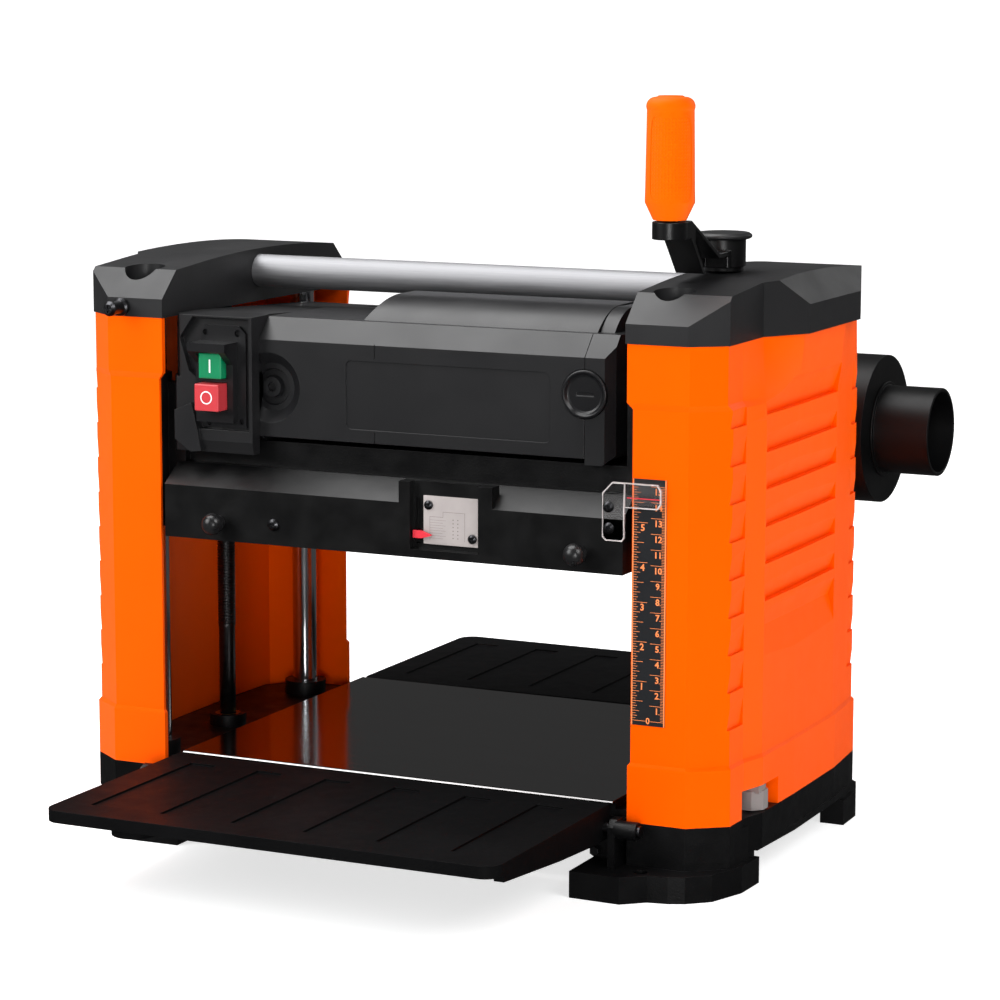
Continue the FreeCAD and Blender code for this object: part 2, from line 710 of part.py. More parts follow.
def feed_table(name, end):
    """Folding feed table: grooved top, deep side skirts and hinge ears. end is -1 at the front."""
    body = new_body(name)
    half, top = cell("bed_width") / 2, cell("table_top")
    reach, start = cell("table_reach"), cell("table_start")
    near, far = end * start, end * reach
    plate = rectangle(-half, far, half, near)
    pad(body, "XY", [plate], top - cell("table_thick"), top)
    corners = [(x, end * reach.value) for x in (-half.value, half.value)]
    round_edges(body, cell("table_corner"), upright_near(corners))
    skirt = [(start + 1, 50), (292, 50), (292, 44), (212, 37), (160, 34), (136, 34),
             (start + 1, 40)]
    for side in (-1, 1):
        if side == 1:
            limits = (half - cell("skirt_thick"), half)
        else:
            limits = (-half, cell("skirt_thick") - half)
        pad(body, "YZ", [[(end * y, z) for y, z in skirt]], *limits)
    lead_in = [(end * (start - 1), top + 1), (end * (start - 1), top - 2.5),
               (end * (start + 2.5), top + 1)]
    pocket(body, "YZ", [lead_in], -half - 1, half + 1)
    pin_y, pin_z = end * cell("pin_offset"), cell("pin_height")
    bore = cell("pin_radius") + cell("running_gap")
    pocket(body, "YZ", [(pin_y, pin_z, bore)], -half - 1, half + 1)
    width, pitch = cell("groove_width"), cell("groove_pitch")
    first = -(pitch * 5 + width) / 2
    start_y, end_y = end * 157, end * (cell("groove_length") + 157)
    strip = rectangle(first, start_y, first + width, end_y)
    cut = pocket(body, "XY", [strip], top - cell("groove_deep"), top + 1)
    repeat(body, [cut], "X", pitch, 6)
    if end == -1:
        pad(body, "XY", [(-100, end * 288, 15)], top - 13, top - cell("table_thick") + 1)


def hinge_brackets():
    """Four brackets on the base, each a plate with an outboard barrel for a hinge pin."""
    body = new_body("hinge_brackets")
    pin_y, pin_z, bore = cell("pin_offset"), cell("pin_height"), cell("pin_radius")
    for end in (-1, 1):
        plate = [(end * y, z) for y, z in
                 ((125, 17.5), (148.5, 17.5), (148.5, 44), (144, 48.5), (136, 48.5), (134, 46),
                  (125, 46))]
        for low, high in ((163, 168), (-168, -163)):
            pad(body, "YZ", [plate], low, high)
        for low, high in ((167, 182), (-182, -167)):
            pad(body, "YZ", [(end * pin_y, pin_z, 6)], low, high)
        pocket(body, "YZ", [(end * pin_y, pin_z, bore)], -190, 190)


def hinge_pins():
    """Four hinge pins, each with a thin head inside its barrel's end."""
    body = new_body("hinge_pins")
    for end in (-1, 1):
        for low, high in ((150, 184), (-184, -150)):
            revolve(body, "X", (end * cell("pin_offset"), cell("pin_height")),
                    rod(low, high, cell("pin_radius")))


def hex_loop(x, z, radius):
    """A hexagon with a corner straight up."""
    return [(x + radius * math.sin(k * math.pi / 3), z + radius * math.cos(k * math.pi / 3))
            for k in range(6)]


def table_stop_bolts():
    """Levelling and stop bolts under the bed's ends, heads outwards, beside each table skirt."""
    body = new_body("table_stop_bolts")
    for side in (-1, 1):
        for end in (-1, 1):
            for height in (22, 30):
                low, high = (-131, -125) if end == -1 else (125, 131)
                pad(body, "XZ", [hex_loop(side * 146, height, 3.4)], low, high)


# ---------------------------------------------------------------- scale and depth stop

def scale_ruler():
    """Height scale on the right tower's front face."""
    body = new_body("scale_ruler")
    left = cell("scale_left")
    face = -front + cell("band_step")
    outline = rectangle(left, cell("scale_foot"), left + cell("scale_width"), cell("scale_top"))
    pad(body, "XZ", [outline], face - 0.5, face)


def depth_turret():
    """Depth-stop turret on its post: an eight-sided body with three stop heights."""
    body = new_body("depth_turret")
    x, y, radius = cell("turret_x"), -cell("turret_y"), cell("turret_radius")
    foot, top = cell("tower_foot") + 1, cell("turret_top")
    prism = [(x + radius * math.cos(math.pi * (2 * k + 1) / 8),
              y + radius * math.sin(math.pi * (2 * k + 1) / 8)) for k in range(8)]
    pad(body, "XY", [prism], foot, top - 4)
    pad(body, "XY", [rectangle(x - 3, y - 9, x + 9, y + 3)], top - 5, top)
    pad(body, "XY", [rectangle(x - 9, y - 6, x - 2, y + 5)], top - 5, top - 2)
    pocket(body, "XY", [(x, y, 3 + cell("running_gap"))], foot - 1, cell("deck_top") + 10.5)


# ---------------------------------------------------------------- cutter head: chassis and drive

plate_half, plate_thick = cell("plate_half"), cell("plate_thick")
cutter_z = cell("cut_height") + cell("cutter_radius")
roller_z = cell("cut_height") - cell("roller_drop") + cell("roller_radius")
motor_y, motor_z = -cell("motor_y"), cell("motor_height")
AXLES = {"cutter": (0, cutter_z), "infeed": (-cell("roller_y"), roller_z),
         "outfeed": (cell("roller_y"), roller_z)}


def head_casting():
    """Head chassis: two side plates, a deck between them, and the column and nut bosses."""
    body = new_body("head_casting")
    foot, top = cell("plate_foot"), cell("plate_top")
    left_cheek = [(-118, foot), (118, foot), (118, 300), (60, top), (-118, top)]
    right_cheek = left_cheek[:4] + [(-30, top), (-38, 336), (-86, 336), (-92, top), (-118, top)]
    deck = rectangle(-112, 264, 112, cell("cover_foot"))
    pad(body, "YZ", [deck], -plate_half - 1, plate_half + 1)
    pad(body, "YZ", [right_cheek], plate_half, plate_half + plate_thick)
    pad(body, "YZ", [left_cheek], -plate_half - plate_thick, -plate_half)
    pad(body, "YZ", [rectangle(-112, 240, -106, 266)], -plate_half - 1, plate_half + 1)
    for side in (-1, 1):
        web = side * (plate_half + 3)
        for y, radius, near in ((-cell("column_front"), 12.5, 2), (cell("column_rear"), 12.5, 9),
                                (screw_y, 12, 9)):
            pad(body, "XY", [(side * column_x, y, radius)], 216, top)
            arm = [(web, y - near), (side * (column_x - 4), y - near),
                   (side * (column_x - 4), y + 9), (web, y + 9)]
            pad(body, "XY", [arm if side == 1 else arm[::-1]], 222, 306)
    bore = cell("column_radius") + cell("running_gap")
    pocket(body, "XY", [(x, y, bore) for x, y in COLUMNS], 200, 340)
    pocket(body, "XY", [(x, y, cell("screw_radius") + 1) for x, y in SCREWS], 200, 340)
    pocket(body, "XY", [(x, y, 10) for x, y in SCREWS], 240, 276)
    gap = cell("running_gap")
    wide = plate_half + plate_thick + 1
    pocket(body, "YZ", [(AXLES["cutter"][0], cutter_z, 16)], -wide, wide)
    for name in ("infeed", "outfeed"):
        y, z = AXLES[name]
        pocket(body, "YZ", [(y, z, 8 + gap)], -wide, wide)
    pocket(body, "YZ", [(motor_y, motor_z, cell("shaft_radius") + 2)], -wide, wide)
    pocket(body, "YZ", [(-cell("pawl_y"), cell("pawl_height"), cell("pawl_rod"))], -wide, wide)


def lead_nuts():
    """Bronze nuts in the head, one on each lead screw."""
    body = new_body("lead_nuts")
    for centre in SCREWS:
        revolve(body, "Z", centre,
                rod(240, 276, 10, cell("screw_radius") + cell("running_gap")))


def cutter_bearings():
    """Ball-bearing units that carry the cutter in the side plates."""
    body = new_body("cutter_bearings")
    y, z = AXLES["cutter"]
    bore = 10 + cell("running_gap")
    for side in (-1, 1):
        inner_face, outer_face = side * plate_half, side * (plate_half + plate_thick)
        revolve(body, "X", (y, z), rod(inner_face, outer_face, 16, bore))


def cutterhead():
    """Cutter block with two knife slots, and journals out to the pulley and the gearbox."""
    body = new_body("cutterhead")
    y, z = AXLES["cutter"]
    half, radius = cell("cutter_half"), cell("cutter_radius")
    revolve(body, "X", (y, z),
            [(-half, 0), (half, 0), (half, radius - 1.5), (-half, radius - 1.5)])
    revolve(body, "X", (y, z), rod(-plate_half - 9, plate_half + 9, 10))
    revolve(body, "X", (y, z), rod(-210, 220, 7))
    slots = [rectangle(y - 3, z + 8, y + 7, z + radius + 4),
             rectangle(y - 7, z - radius - 4, y + 3, z - 8)]
    pocket(body, "YZ", slots, -half - 1, half + 1)


def cutter_knives():
    """Two knives with their clamping bars, in the cutter block's slots."""
    body = new_body("cutter_knives")
    y, z = AXLES["cutter"]
    radius = cell("cutter_radius")
    half = cell("cutter_half")
    blade = rectangle(y - 3, z + 8, y, z + radius - 0.2)
    bar = rectangle(y, z + 8, y + 7, z + radius - 4)
    pad(body, "YZ", [blade], -half, half)
    pad(body, "YZ", [bar], -half + 2, half - 2)
    blade = rectangle(y, z - radius + 0.2, y + 3, z - 8)
    bar = rectangle(y - 7, z - radius + 4, y, z - 8)
    pad(body, "YZ", [blade], -half, half)
    pad(body, "YZ", [bar], -half + 2, half - 2)


def grooved_wheel(name, centre, radius, bore):
    """Ribbed belt pulley with two side flanges."""
    body = new_body(name)
    middle, half = cell("belt_x"), cell("pulley_width") / 2
    lip = radius + 2
    revolve(body, "X", centre,
            [(middle - half, bore), (middle + half, bore), (middle + half, lip),
             (middle + half - 1.5, lip), (middle + half - 1.5, radius),
             (middle - half + 1.5, radius), (middle - half + 1.5, lip), (middle - half, lip)])


def drive_belt():
    """Flat ribbed belt from the motor pulley to the cutter pulley."""
    across = (FreeCAD.Vector(0, 1, 0), FreeCAD.Vector(0, 0, 1))
    level = FreeCAD.Vector(SIZES["belt_x"] - SIZES["belt_width"] / 2, 0, 0)
    width = FreeCAD.Vector(SIZES["belt_width"], 0, 0)
    clear = 0.35
    cutter_centre = (0, SIZES["cut_height"] + SIZES["cutter_radius"])
    motor_centre = (-SIZES["motor_y"], SIZES["motor_height"])
    shape_piece("drive_belt", belt_solid(
        cutter_centre, SIZES["cutter_pulley"] + clear, motor_centre,
        SIZES["motor_pulley"] + clear, SIZES["belt_thick"], across, level, width))


def motor_can():
    """Motor housing: a can with closed ends and bearing bores."""
    body = new_body("motor_can")
    radius = cell("motor_radius")
    revolve(body, "X", (motor_y, motor_z), rod(-92, 118, radius))
    for low, high in ((-80, -60), (86, 106)):
        pad(body, "YZ", [rectangle(-84, cell("cover_foot"), -40, 290)], low, high)
    groove(body, "X", (motor_y, motor_z), rod(-88, 114, radius - 3))
    groove(body, "X", (motor_y, motor_z),
           rod(-93, 119, cell("shaft_radius") + cell("running_gap")))


def motor_armature():
    """Armature: lamination stack, commutator, fan and the shaft to the motor pulley."""
    body = new_body("motor_armature")
    shaft = cell("shaft_radius")
    revolve(body, "X", (motor_y, motor_z),
            [(-96, 0), (220, 0), (220, shaft), (108, shaft), (108, 26), (101, 26), (101, shaft),
             (92, shaft), (92, 14), (70, 14), (70, shaft), (58, shaft), (58, 24), (-60, 24),
             (-60, shaft), (-96, shaft)])


def feed_roller(prefix, centre):
    """Feed roller: a steel shaft with a rubber-covered barrel."""
    shaft = new_body(prefix + "_roller_shaft")
    revolve(shaft, "X", centre,
            [(-210, 0), (172, 0), (172, 8), (157, 8), (157, 13), (-157, 13), (-157, 8), (-210, 8)])
    cover = new_body(prefix + "_roller_rubber")
    revolve(cover, "X", centre, rod(-155, 155, cell("roller_radius"), 13))


def feed_gearbox():
    """Closed reduction-gear case on the head's left side, which drives both feed rollers."""
    body = new_body("feed_gearbox")
    case = [(-78, 202), (78, 202), (84, 210), (84, 240), (66, 262), (-66, 262), (-84, 240),
            (-84, 210)]
    pad(body, "YZ", [case], -224, -203)
    arms = rectangle(34, 226, 60, 250)
    pad(body, "YZ", [arms], -204, -plate_half - plate_thick)
    gap = cell("running_gap")
    pocket(body, "YZ", [(AXLES["cutter"][0], cutter_z, 7 + gap)], -212, -150)
    for name in ("infeed", "outfeed"):
        y, z = AXLES[name]
        pocket(body, "YZ", [(y, z, 8 + gap)], -212, -150)


PAWLS = 12
PAWL_PITCH = 25.5


def pawl_rod():
    """Rod across the infeed mouth that the anti-kickback pawls hang on."""
    body = new_body("pawl_rod")
    reach = plate_half + plate_thick
    revolve(body, "X", (-cell("pawl_y"), cell("pawl_height")),
            rod(-reach, reach, cell("pawl_rod")))


def kickback_pawls():
    """A row of steel pawls that let the board in and catch it if it is thrown back."""
    body = new_body("kickback_pawls")
    y, z = -cell("pawl_y"), cell("pawl_height")
    hole = cell("pawl_rod") + cell("running_gap")
    pawl = [(y - 7, z + 3), (y - 4, z + 7), (y + 4, z + 7), (y + 7, z + 3), (y + 8, z - 20),
            (y + 5, z - 24.3), (y - 1, z - 18)]
    for index in range(PAWLS):
        middle = (index - (PAWLS - 1) / 2) * PAWL_PITCH
        pad(body, "YZ", [pawl, (y, z, hole)], middle - 2, middle + 2)


# ---------------------------------------------------------------- apron, covers and controls

def front_apron():
    """Folded front plate with its sloped top, end flanges and the recessed gauge window."""
    body = new_body("front_apron")
    face, foot = -cell("apron_front"), cell("apron_foot")
    fold, top, half = cell("apron_fold"), cell("apron_top"), cell("apron_half")
    section = [(face, foot), (face + 2.2, foot), (face + 2.2, fold - 1), (face + 19, top - 2.5),
               (-112, top - 2.5), (-112, top), (face + 18, top), (face, fold)]
    pad(body, "YZ", [section], -half, half)
    flange = [(face + 1, foot), (-119, foot), (-119, top - 1), (face + 18, top - 1),
              (face + 1, fold)]
    pad(body, "YZ", [flange], half - 2.5, half)
    pad(body, "YZ", [flange], -half, 2.5 - half)
    corners = [rectangle(-170, -118.5, -161, -110), rectangle(161, -118.5, 170, -110)]
    pocket(body, "XY", corners, top - 3.5, top + 1)
    frame = rectangle(9, foot, 76, top + 1)
    pad(body, "XZ", [frame], face, face + 11)
    pocket(body, "XZ", [rectangle(17, 210, 66, 263)], face - 1, face + 6)
    pocket(body, "XZ", [rectangle(18.5, 213, 22.5, 243)], face + 5, face + 9)
    hole = [(-125, 217, 2.5), (138, 217, 2.5), (-83.7, 218.2, 2), (158, 248, 1.6),
            (158.5, 234.6, 1.6)]
    pocket(body, "XZ", hole, face - 1, face + 3)


def gauge_plate():
    """Engraved plate of the cut-depth gauge, in the apron's window."""
    body = new_body("gauge_plate")
    back = -cell("apron_front") + 6
    pad(body, "XZ", [rectangle(24.5, 213.3, 64.5, 245)], back - 1, back)


def gauge_pointer():
    """Red pointer of the cut-depth gauge, on a stem that runs in the apron's slot."""
    body = new_body("gauge_pointer")
    back = -cell("apron_front") + 6
    arrow = [(17.8, 217), (24, 217), (31, 219), (31, 219.6), (24, 222), (17.8, 222)]
    pad(body, "XZ", [arrow], back - 3.4, back - 1.5)
    pad(body, "XZ", [rectangle(19, 217.5, 22, 221.5)], back - 1.6, back + 2.4)


def screw_head(body, x, z, face, radius, shank):
    """One pan-head screw: its head stands in front of a face that looks towards the infeed."""
    revolve(body, "Y", (x, z),
            [(face + 2.2, 0), (face + 2.2, shank), (face, shank), (face, radius),
             (face - 1.4, radius), (face - 2.4, radius * 0.55), (face - 2.4, 0)])
    pocket(body, "XZ", [cross(x, z, 1.9, 0.45)], face - 3, face - 1.2)


def apron_screws():
    """Pan-head screws of the apron, the gauge plate and the height pointer."""
    body = new_body("apron_screws")
    face = -cell("apron_front")
    screw_head(body, -83.7, 218.2, face, cell("running_gap") + 3.85, 2)
    for x, z in ((158, 248), (158.5, 234.6)):
        screw_head(body, x, z, face - 1.6, cell("running_gap") + 3.45, 1.6)
    plate = face + 5
    for x, z in ((28.4, 238.8), (59.8, 218.6)):
        revolve(body, "Y", (x, z), [(plate, 0), (plate, 3), (plate - 1, 3), (plate - 1.8, 1.6),
                                    (plate - 1.8, 0)])
        pocket(body, "XZ", [cross(x, z, 1.5, 0.4)], plate - 2, plate - 0.9)


def height_pointer():
    """Clear pointer on the apron's right end, with a window that reaches over the scale."""
    body = new_body("height_pointer")
    face = -cell("apron_front")
    lug = [(153.4, 228.5), (155.5, 226.2), (166.9, 226.2), (168.6, 228.5), (168.6, 248),
           (191, 248), (193.5, 251.5), (193.5, 260.5), (191, 264), (160, 264), (153.4, 257)]
    pad(body, "XZ", [lug, (158, 248, 1.6), (158.5, 234.6, 1.6)], face - 1.6, face)


def table_bumpers():
    """Rubber ball buffers that the folded infeed table comes to rest on."""
    body = new_body("table_bumpers")
    face = -cell("apron_front")
    for x in (-125, 138):
        revolve(body, "Y", (x, 217),
                [(face + 2.2, 0), (face + 2.2, 2.5), (face, 2.5), (face, 4.5), (face - 4.2, 4.5),
                 Arc((face - 10, 7.3), (face - 15.8, 2.5)), (face - 16.4, 0)])


def cover_section(grow=0):
    """Half-open section of the motor cover in Y and Z, or its inside when grow is negative."""
    face, shoulder, crest = -cell("cover_front"), cell("cover_shoulder"), cell("cover_crest")
    back = cell("cover_back")
    return [(face - grow, cell("cover_foot")), (face - grow, shoulder + grow / 2),
            (face + 13 - grow / 2, crest + grow), (-15, crest - 2 + grow),
            (back + grow, crest - 14 + grow), (back + grow, cell("cover_foot"))]


def motor_cover():
    """Main cover over the motor: a flat front with a shoulder, ringed recess and blank panel."""
    body = new_body("motor_cover")
    wall = cell("cover_wall")
    left, right = -cell("cover_left"), cell("cover_right") - 0.2
    face, foot = -cell("cover_front"), cell("cover_foot")
    pad(body, "YZ", [cover_section()], left, right)
    pocket(body, "YZ", [cover_section(-wall)], left + wall, right + 1)
    step = [(face - 1, foot - 1), (face + 9, foot - 1), (face + 2, foot + 4), (face - 1, foot + 4)]
    pocket(body, "YZ", [step], left - 1, right + 1)
    revolve(body, "Y", (-97, 306.5), rod(face + 1, face + 12, 25))
    pocket(body, "YZ", [rectangle(face, 270, face + 12, 340)], left - 30, left)
    groove(body, "Y", (-97, 306.5),
           [(face - 1, 0), (face + 7, 0), (face + 7, 3.2), (face + 4.5, 3.2), (face + 4.5, 6.5),
            (face + 8.5, 7.5), (face + 8.5, 11.5), (face + 6.5, 12.5), (face + 6.5, 16),
            (face + 0.2, 23.3), (face - 1, 23.8)])
    plate = rounded_rectangle(-39.3, 282.5, 108, 327.8, 4)
    pocket(body, "XZ", [plate], face - 1, face + 0.8)
    for low, high in ((foot - 1, 281), (329.3, 339)):
        pocket(body, "XZ", [rectangle(-18.3, low, -17.7, high)], face - 1, face + 0.7)
    pocket(body, "XZ", [(cell("cover_right"), 315.2, 16)], face - 1, face + 1.5)
    pocket(body, "YZ", [rectangle(-97.5, 345.5, -13, 360)], 1 - cell("hump_left"), right + 1)


def end_cover():
    """Right-hand end of the motor cover, beyond the seam, with its chamfered corner."""
    body = new_body("end_cover")
    wall = cell("cover_wall")
    left, right = cell("cover_right") + 0.2, cell("cover_end")
    face = -cell("cover_front")
    pad(body, "YZ", [cover_section()], left, right)
    pocket(body, "YZ", [cover_section(-wall)], left - 1, right - wall)
    corner = [(right - 6, face - 1), (right + 1, face - 1), (right + 1, face + 8)]
    pocket(body, "XY", [corner], 260, 370)
    foot = [(right - 8, 269), (right + 1, 269), (right + 1, 277)]
    pocket(body, "XZ", [foot], face - 5, 120)
    pocket(body, "XZ", [(cell("cover_right"), 315.2, 16)], face - 1, face + 1.5)
    pocket(body, "YZ", [(motor_y, motor_z, 9)], right - wall - 1, right + 1)
    hump = [(-96, 349), Arc((-81, 362.5), (-58, 366)), (-36, 366), (-13, 349)]
    pad(body, "YZ", [hump], left, right - 9)


def top_shroud():
    """Rounded shroud over the motor, let into the cover's roof."""
    body = new_body("top_shroud")
    top, crest = cell("hump_top"), cell("cover_crest")
    left, right = -cell("hump_left"), cell("cover_right") - 0.2
    section = [(-97.5, 345.5), (-97.5, crest - 0.5), Arc((-80, 363.5), (-60, top)), (-38, top),
               (-13, crest - 2.2), (-13, 345.5)]
    pad(body, "YZ", [section], left + 1, right)
    nose = [(left - 2, top + 1), (left + 9.5, top + 1), (left - 2, 346)]
    pocket(body, "XZ", [nose], -100, 0)


def switch_panel():
    """Angular left-hand housing with a recess for the switch and a faceted lower corner."""
    body = new_body("switch_panel")
    left, right, face = -cell("panel_left"), -cell("panel_right"), -cell("panel_front")
    inside, crest = -cell("cover_left"), cell("cover_crest") + 1
    section = [(face + 2, 262), (face, 270), (face, crest), (-100, crest), (60, crest - 9),
               (60, 320), (-96, 320), (-96, 262)]
    pad(body, "YZ", [section], left, inside)
    edge = [(face + 2, 262), (face, 270), (face, crest), (-104.5, crest),
            (-cell("cover_front"), cell("cover_shoulder") + 0.8), (-cell("cover_front"), 262)]
    pad(body, "YZ", [edge], inside - 1, right)
    hollow = [(face + 8, 261), (face + 8, 350), (-100, 350), (58, 341), (58, 322),
              (-93, 322), (-93, 261)]
    pocket(body, "YZ", [hollow], left + 3, inside - 3)
    pocket(body, "YZ", [rectangle(-118, 261, -92, 316)], left - 1, inside + 0.1)
    side_cut = [(left - 1, face - 1), (left + 8, face - 1), (left - 1, face + 10)]
    pocket(body, "XY", [side_cut], 312, 360)
    side_cut = [(left - 1, face - 1), (left + 5, face - 1), (left - 1, face + 7)]
    pocket(body, "XY", [side_cut], 255, 313)
    corner = [(left - 1, 340), (left - 1, crest + 1), (left + 2.5, crest + 1)]
    pocket(body, "XZ", [corner], face - 1, 61)
    recess = [(-159, 338), (-152, 316), (-145.5, 311), (-145.5, 277.5), (-106.5, 277.5),
              (-106.5, crest - 1.2), (-149, crest - 1.2)]
    pocket(body, "XZ", [recess], face - 1, face + 5)
    knuckle = [(-162, 270), (-162, 289.5), (-149, 295), (-146, 284), (-142, 263), (-150, 262)]
    pad(body, "XZ", [knuckle], face - 3, face + 10)


def switch_box():
    """Magnetic switch: a screwed plate and a case whose upper half hoods the start button."""
    body = new_body("switch_box")
    x, floor = -cell("switch_x"), 5 - cell("panel_front")
    plate = [(x - 13.2, 290), (x - 13.2, 343), (x - 10, 347), (x + 16, 347), (x + 20.8, 342),
             (x + 20.8, 279.2), (x - 10.5, 279.2), (x - 10.5, 287)]
    pad(body, "XZ", [plate], floor - 2.5, floor)
    case = [(floor, 283), (floor - 8, 283), (floor - 8, 322), (floor - 19, 331),
            (floor - 19, 336.5), (floor, 336.5)]
    pad(body, "YZ", [case], x - 14.2, x + 14.2)
    for z, half_x, half_z in ((cell("start_height"), 9.1, 8.9), (cell("stop_height"), 9.6, 9.4)):
        well = rectangle(x - half_x, z - half_z, x + half_x, z + half_z)
        pocket(body, "XZ", [well], floor - 21, floor - 2)
    holes = [(x - 9.8, 342.3, 1.9), (x + 14.9, 342.3, 2.4), (x - 7.2, 281.2, 1.4),
             (x + 17.5, 283.5, 1.8)]
    pocket(body, "XZ", holes, floor - 3, floor + 1)


def push_button(name, height, half_x, half_z, proud):
    """One square push button in its well, standing proud of the switch's back by some amount."""
    body = new_body(name)
    x, floor = -cell("switch_x"), 5 - cell("panel_front")
    cap = rectangle(x - half_x, height - half_z, x + half_x, height + half_z)
    pad(body, "XZ", [cap], floor - proud, floor - 5.5)


def brush_cap():
    """Slotted screw cap over the motor brush, on the cover's seam."""
    body = new_body("brush_cap")
    face = -cell("cover_front")
    x, z = cell("cover_right"), 315.2
    revolve(body, "Y", (x, z),
            [(face + 1.5, 0), (face + 1.5, 15.6), (face - 1, 15.6), (face - 1.6, 14.9),
             (face - 1.6, 13.8), (face + 0.2, 12.2), (face + 0.5, 11), (face + 0.5, 0)])
    pocket(body, "XZ", [rectangle(x - 6, z - 1.2, x + 6, z + 1.2)], face - 2, face + 1.1)


def dust_hood():
    """Chip hood along the back of the head, open to the cutter and to the outlet drum."""
    body = new_body("dust_hood")
    section = [(112, 214), (150, 212), (172, 240), (172, 286), (150, 302), (112, 302)]
    wall = cell("dust_wall")
    inside = [(111, 214 + 2.5), (149, 212 + 2.5), (172 - 2.5, 241), (172 - 2.5, 285),
              (149, 302 - 2.5), (111, 302 - 2.5)]
    pad(body, "YZ", [section], -152, 152)
    pocket(body, "YZ", [inside], -152 + wall, 152 - wall)
    pocket(body, "YZ", [rectangle(140, 236, 166, 282)], 149, 153)


def dust_drum():
    """Round outlet drum at the hood's right-hand end, with a plate round the outlet hole."""
    body = new_body("dust_drum")
    centre = (cell("dust_y"), cell("dust_height"))
    radius, end, wall = cell("drum_radius"), cell("drum_end"), cell("dust_wall")
    pipe = cell("pipe_radius")
    revolve(body, "X", centre,
            [(152, radius), (end, radius), (end, pipe - wall), (end - 3, pipe - wall),
             (end - 3, radius - wall), (152, radius - wall)])
    plate = [(cell("dust_y"), cell("dust_height"), radius - 1)]
    pad(body, "YZ", plate, 152, 154.5)
    pocket(body, "YZ", [rectangle(140, 236, 166, 282)], 151, 156)


def dust_reducer():
    """Outlet pipe for the extraction hose, with its flange against the drum."""
    body = new_body("dust_reducer")
    start, radius = cell("drum_end"), cell("pipe_radius")
    bore = radius - cell("dust_wall")
    revolve(body, "X", (cell("dust_y"), cell("dust_height")),
            [(start, bore), (cell("pipe_end"), bore), (cell("pipe_end"), radius),
             (start + 1.5, radius), (start + 1.5, radius + 2.5), (start, radius + 2.5)])


def cable_gland():
    """Gland in the head's back where the mains lead goes in."""
    body = new_body("cable_gland")
    revolve(body, "Y", (-130, 330),
            [(60, 4), (60, 9), (66, 9), (68, 7), (80, 6), (80, 4)])


# ---------------------------------------------------------------- the whole machine

base_casting()
bed_plate()
tower_shell("left_tower_shell", -1)
tower_shell("right_tower_shell", 1)
top_cap("left_top_cap", -1)
top_cap("right_top_cap", 1)
cap_screws()
cross_tube()
guide_columns()
hinge_brackets()
hinge_pins()
table_stop_bolts()
scale_ruler()
screw_bushings()
sync_chain()

lead_screw("left_lead_screw", -1, 368)
lead_screw("right_lead_screw", 1, 408)
sprocket("left_sprocket", -1)
sprocket("right_sprocket", 1)
crank_arm()
crank_cap()
crank_grip()
feed_table("front_table", -1)
feed_table("rear_table", 1)
depth_turret()

head_casting()
lead_nuts()
cutter_bearings()
cutterhead()
cutter_knives()
grooved_wheel("cutter_pulley", AXLES["cutter"], cell("cutter_pulley"), 7)
grooved_wheel("motor_pulley", (motor_y, motor_z), cell("motor_pulley"), cell("shaft_radius"))
drive_belt()
motor_can()
motor_armature()
feed_roller("infeed", AXLES["infeed"])
feed_roller("outfeed", AXLES["outfeed"])
feed_gearbox()
pawl_rod()
kickback_pawls()

front_apron()
gauge_plate()
gauge_pointer()
apron_screws()
height_pointer()
table_bumpers()
motor_cover()
end_cover()
top_shroud()
switch_panel()
switch_box()
push_button("start_button", cell("start_height"), 8.7, 8.5, 14)
push_button("stop_button", cell("stop_height"), 9.2, 9, 19)
brush_cap()
dust_hood()
dust_drum()
dust_reducer()
cable_gland()

doc.recompute()


# ---------------------------------------------------------------- checks and export

def check_document():
    """Stop if any feature failed, any cut removed nothing, or any piece is not a valid solid."""
    for thing in doc.Objects:
        if "Invalid" in thing.State or "Error" in thing.State:
            raise RuntimeError(f"{thing.Name} ({thing.Label}) is {thing.State}")
        cuts = thing.isDerivedFrom("PartDesign::Pocket") or thing.isDerivedFrom("PartDesign::Groove")
        if cuts and thing.Shape.Volume > thing.BaseFeature.Shape.Volume - 0.01:
            raise RuntimeError(f"{thing.Name} cuts nothing")
    for piece in pieces:
        if piece.Shape.isNull() or not piece.Shape.isValid():
            raise RuntimeError(f"{piece.Label} has no valid shape")


def export_pieces():
    """Write every piece to its own STEP file."""
    os.makedirs("parts", exist_ok=True)
    for piece in pieces:
        piece.Shape.exportStep(f"parts/{piece.Label}.step")


check_document()
export_pieces()
print(f"{len(pieces)} pieces")
for piece in pieces:
    box = piece.Shape.BoundBox
    print(f"{piece.Label:24s} {len(piece.Shape.Solids):3d} solids  "
          f"x {box.XMin:7.1f} {box.XMax:7.1f}  y {box.YMin:7.1f} {box.YMax:7.1f}  "
          f"z {box.ZMin:7.1f} {box.ZMax:7.1f}")
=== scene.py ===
"""Looks for the thickness planer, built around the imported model.

The file runs in this order: helpers for materials, the materials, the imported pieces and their
edge finish, the detailed pieces that replace or dress packed ones, then floor, light and camera.
The scene is in metres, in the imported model's own frame: X right, Y back, Z up. The corners and
sizes of the detailed pieces are given in millimetres.
"""

import math

import bmesh
import bpy
from mathutils import Matrix, Vector


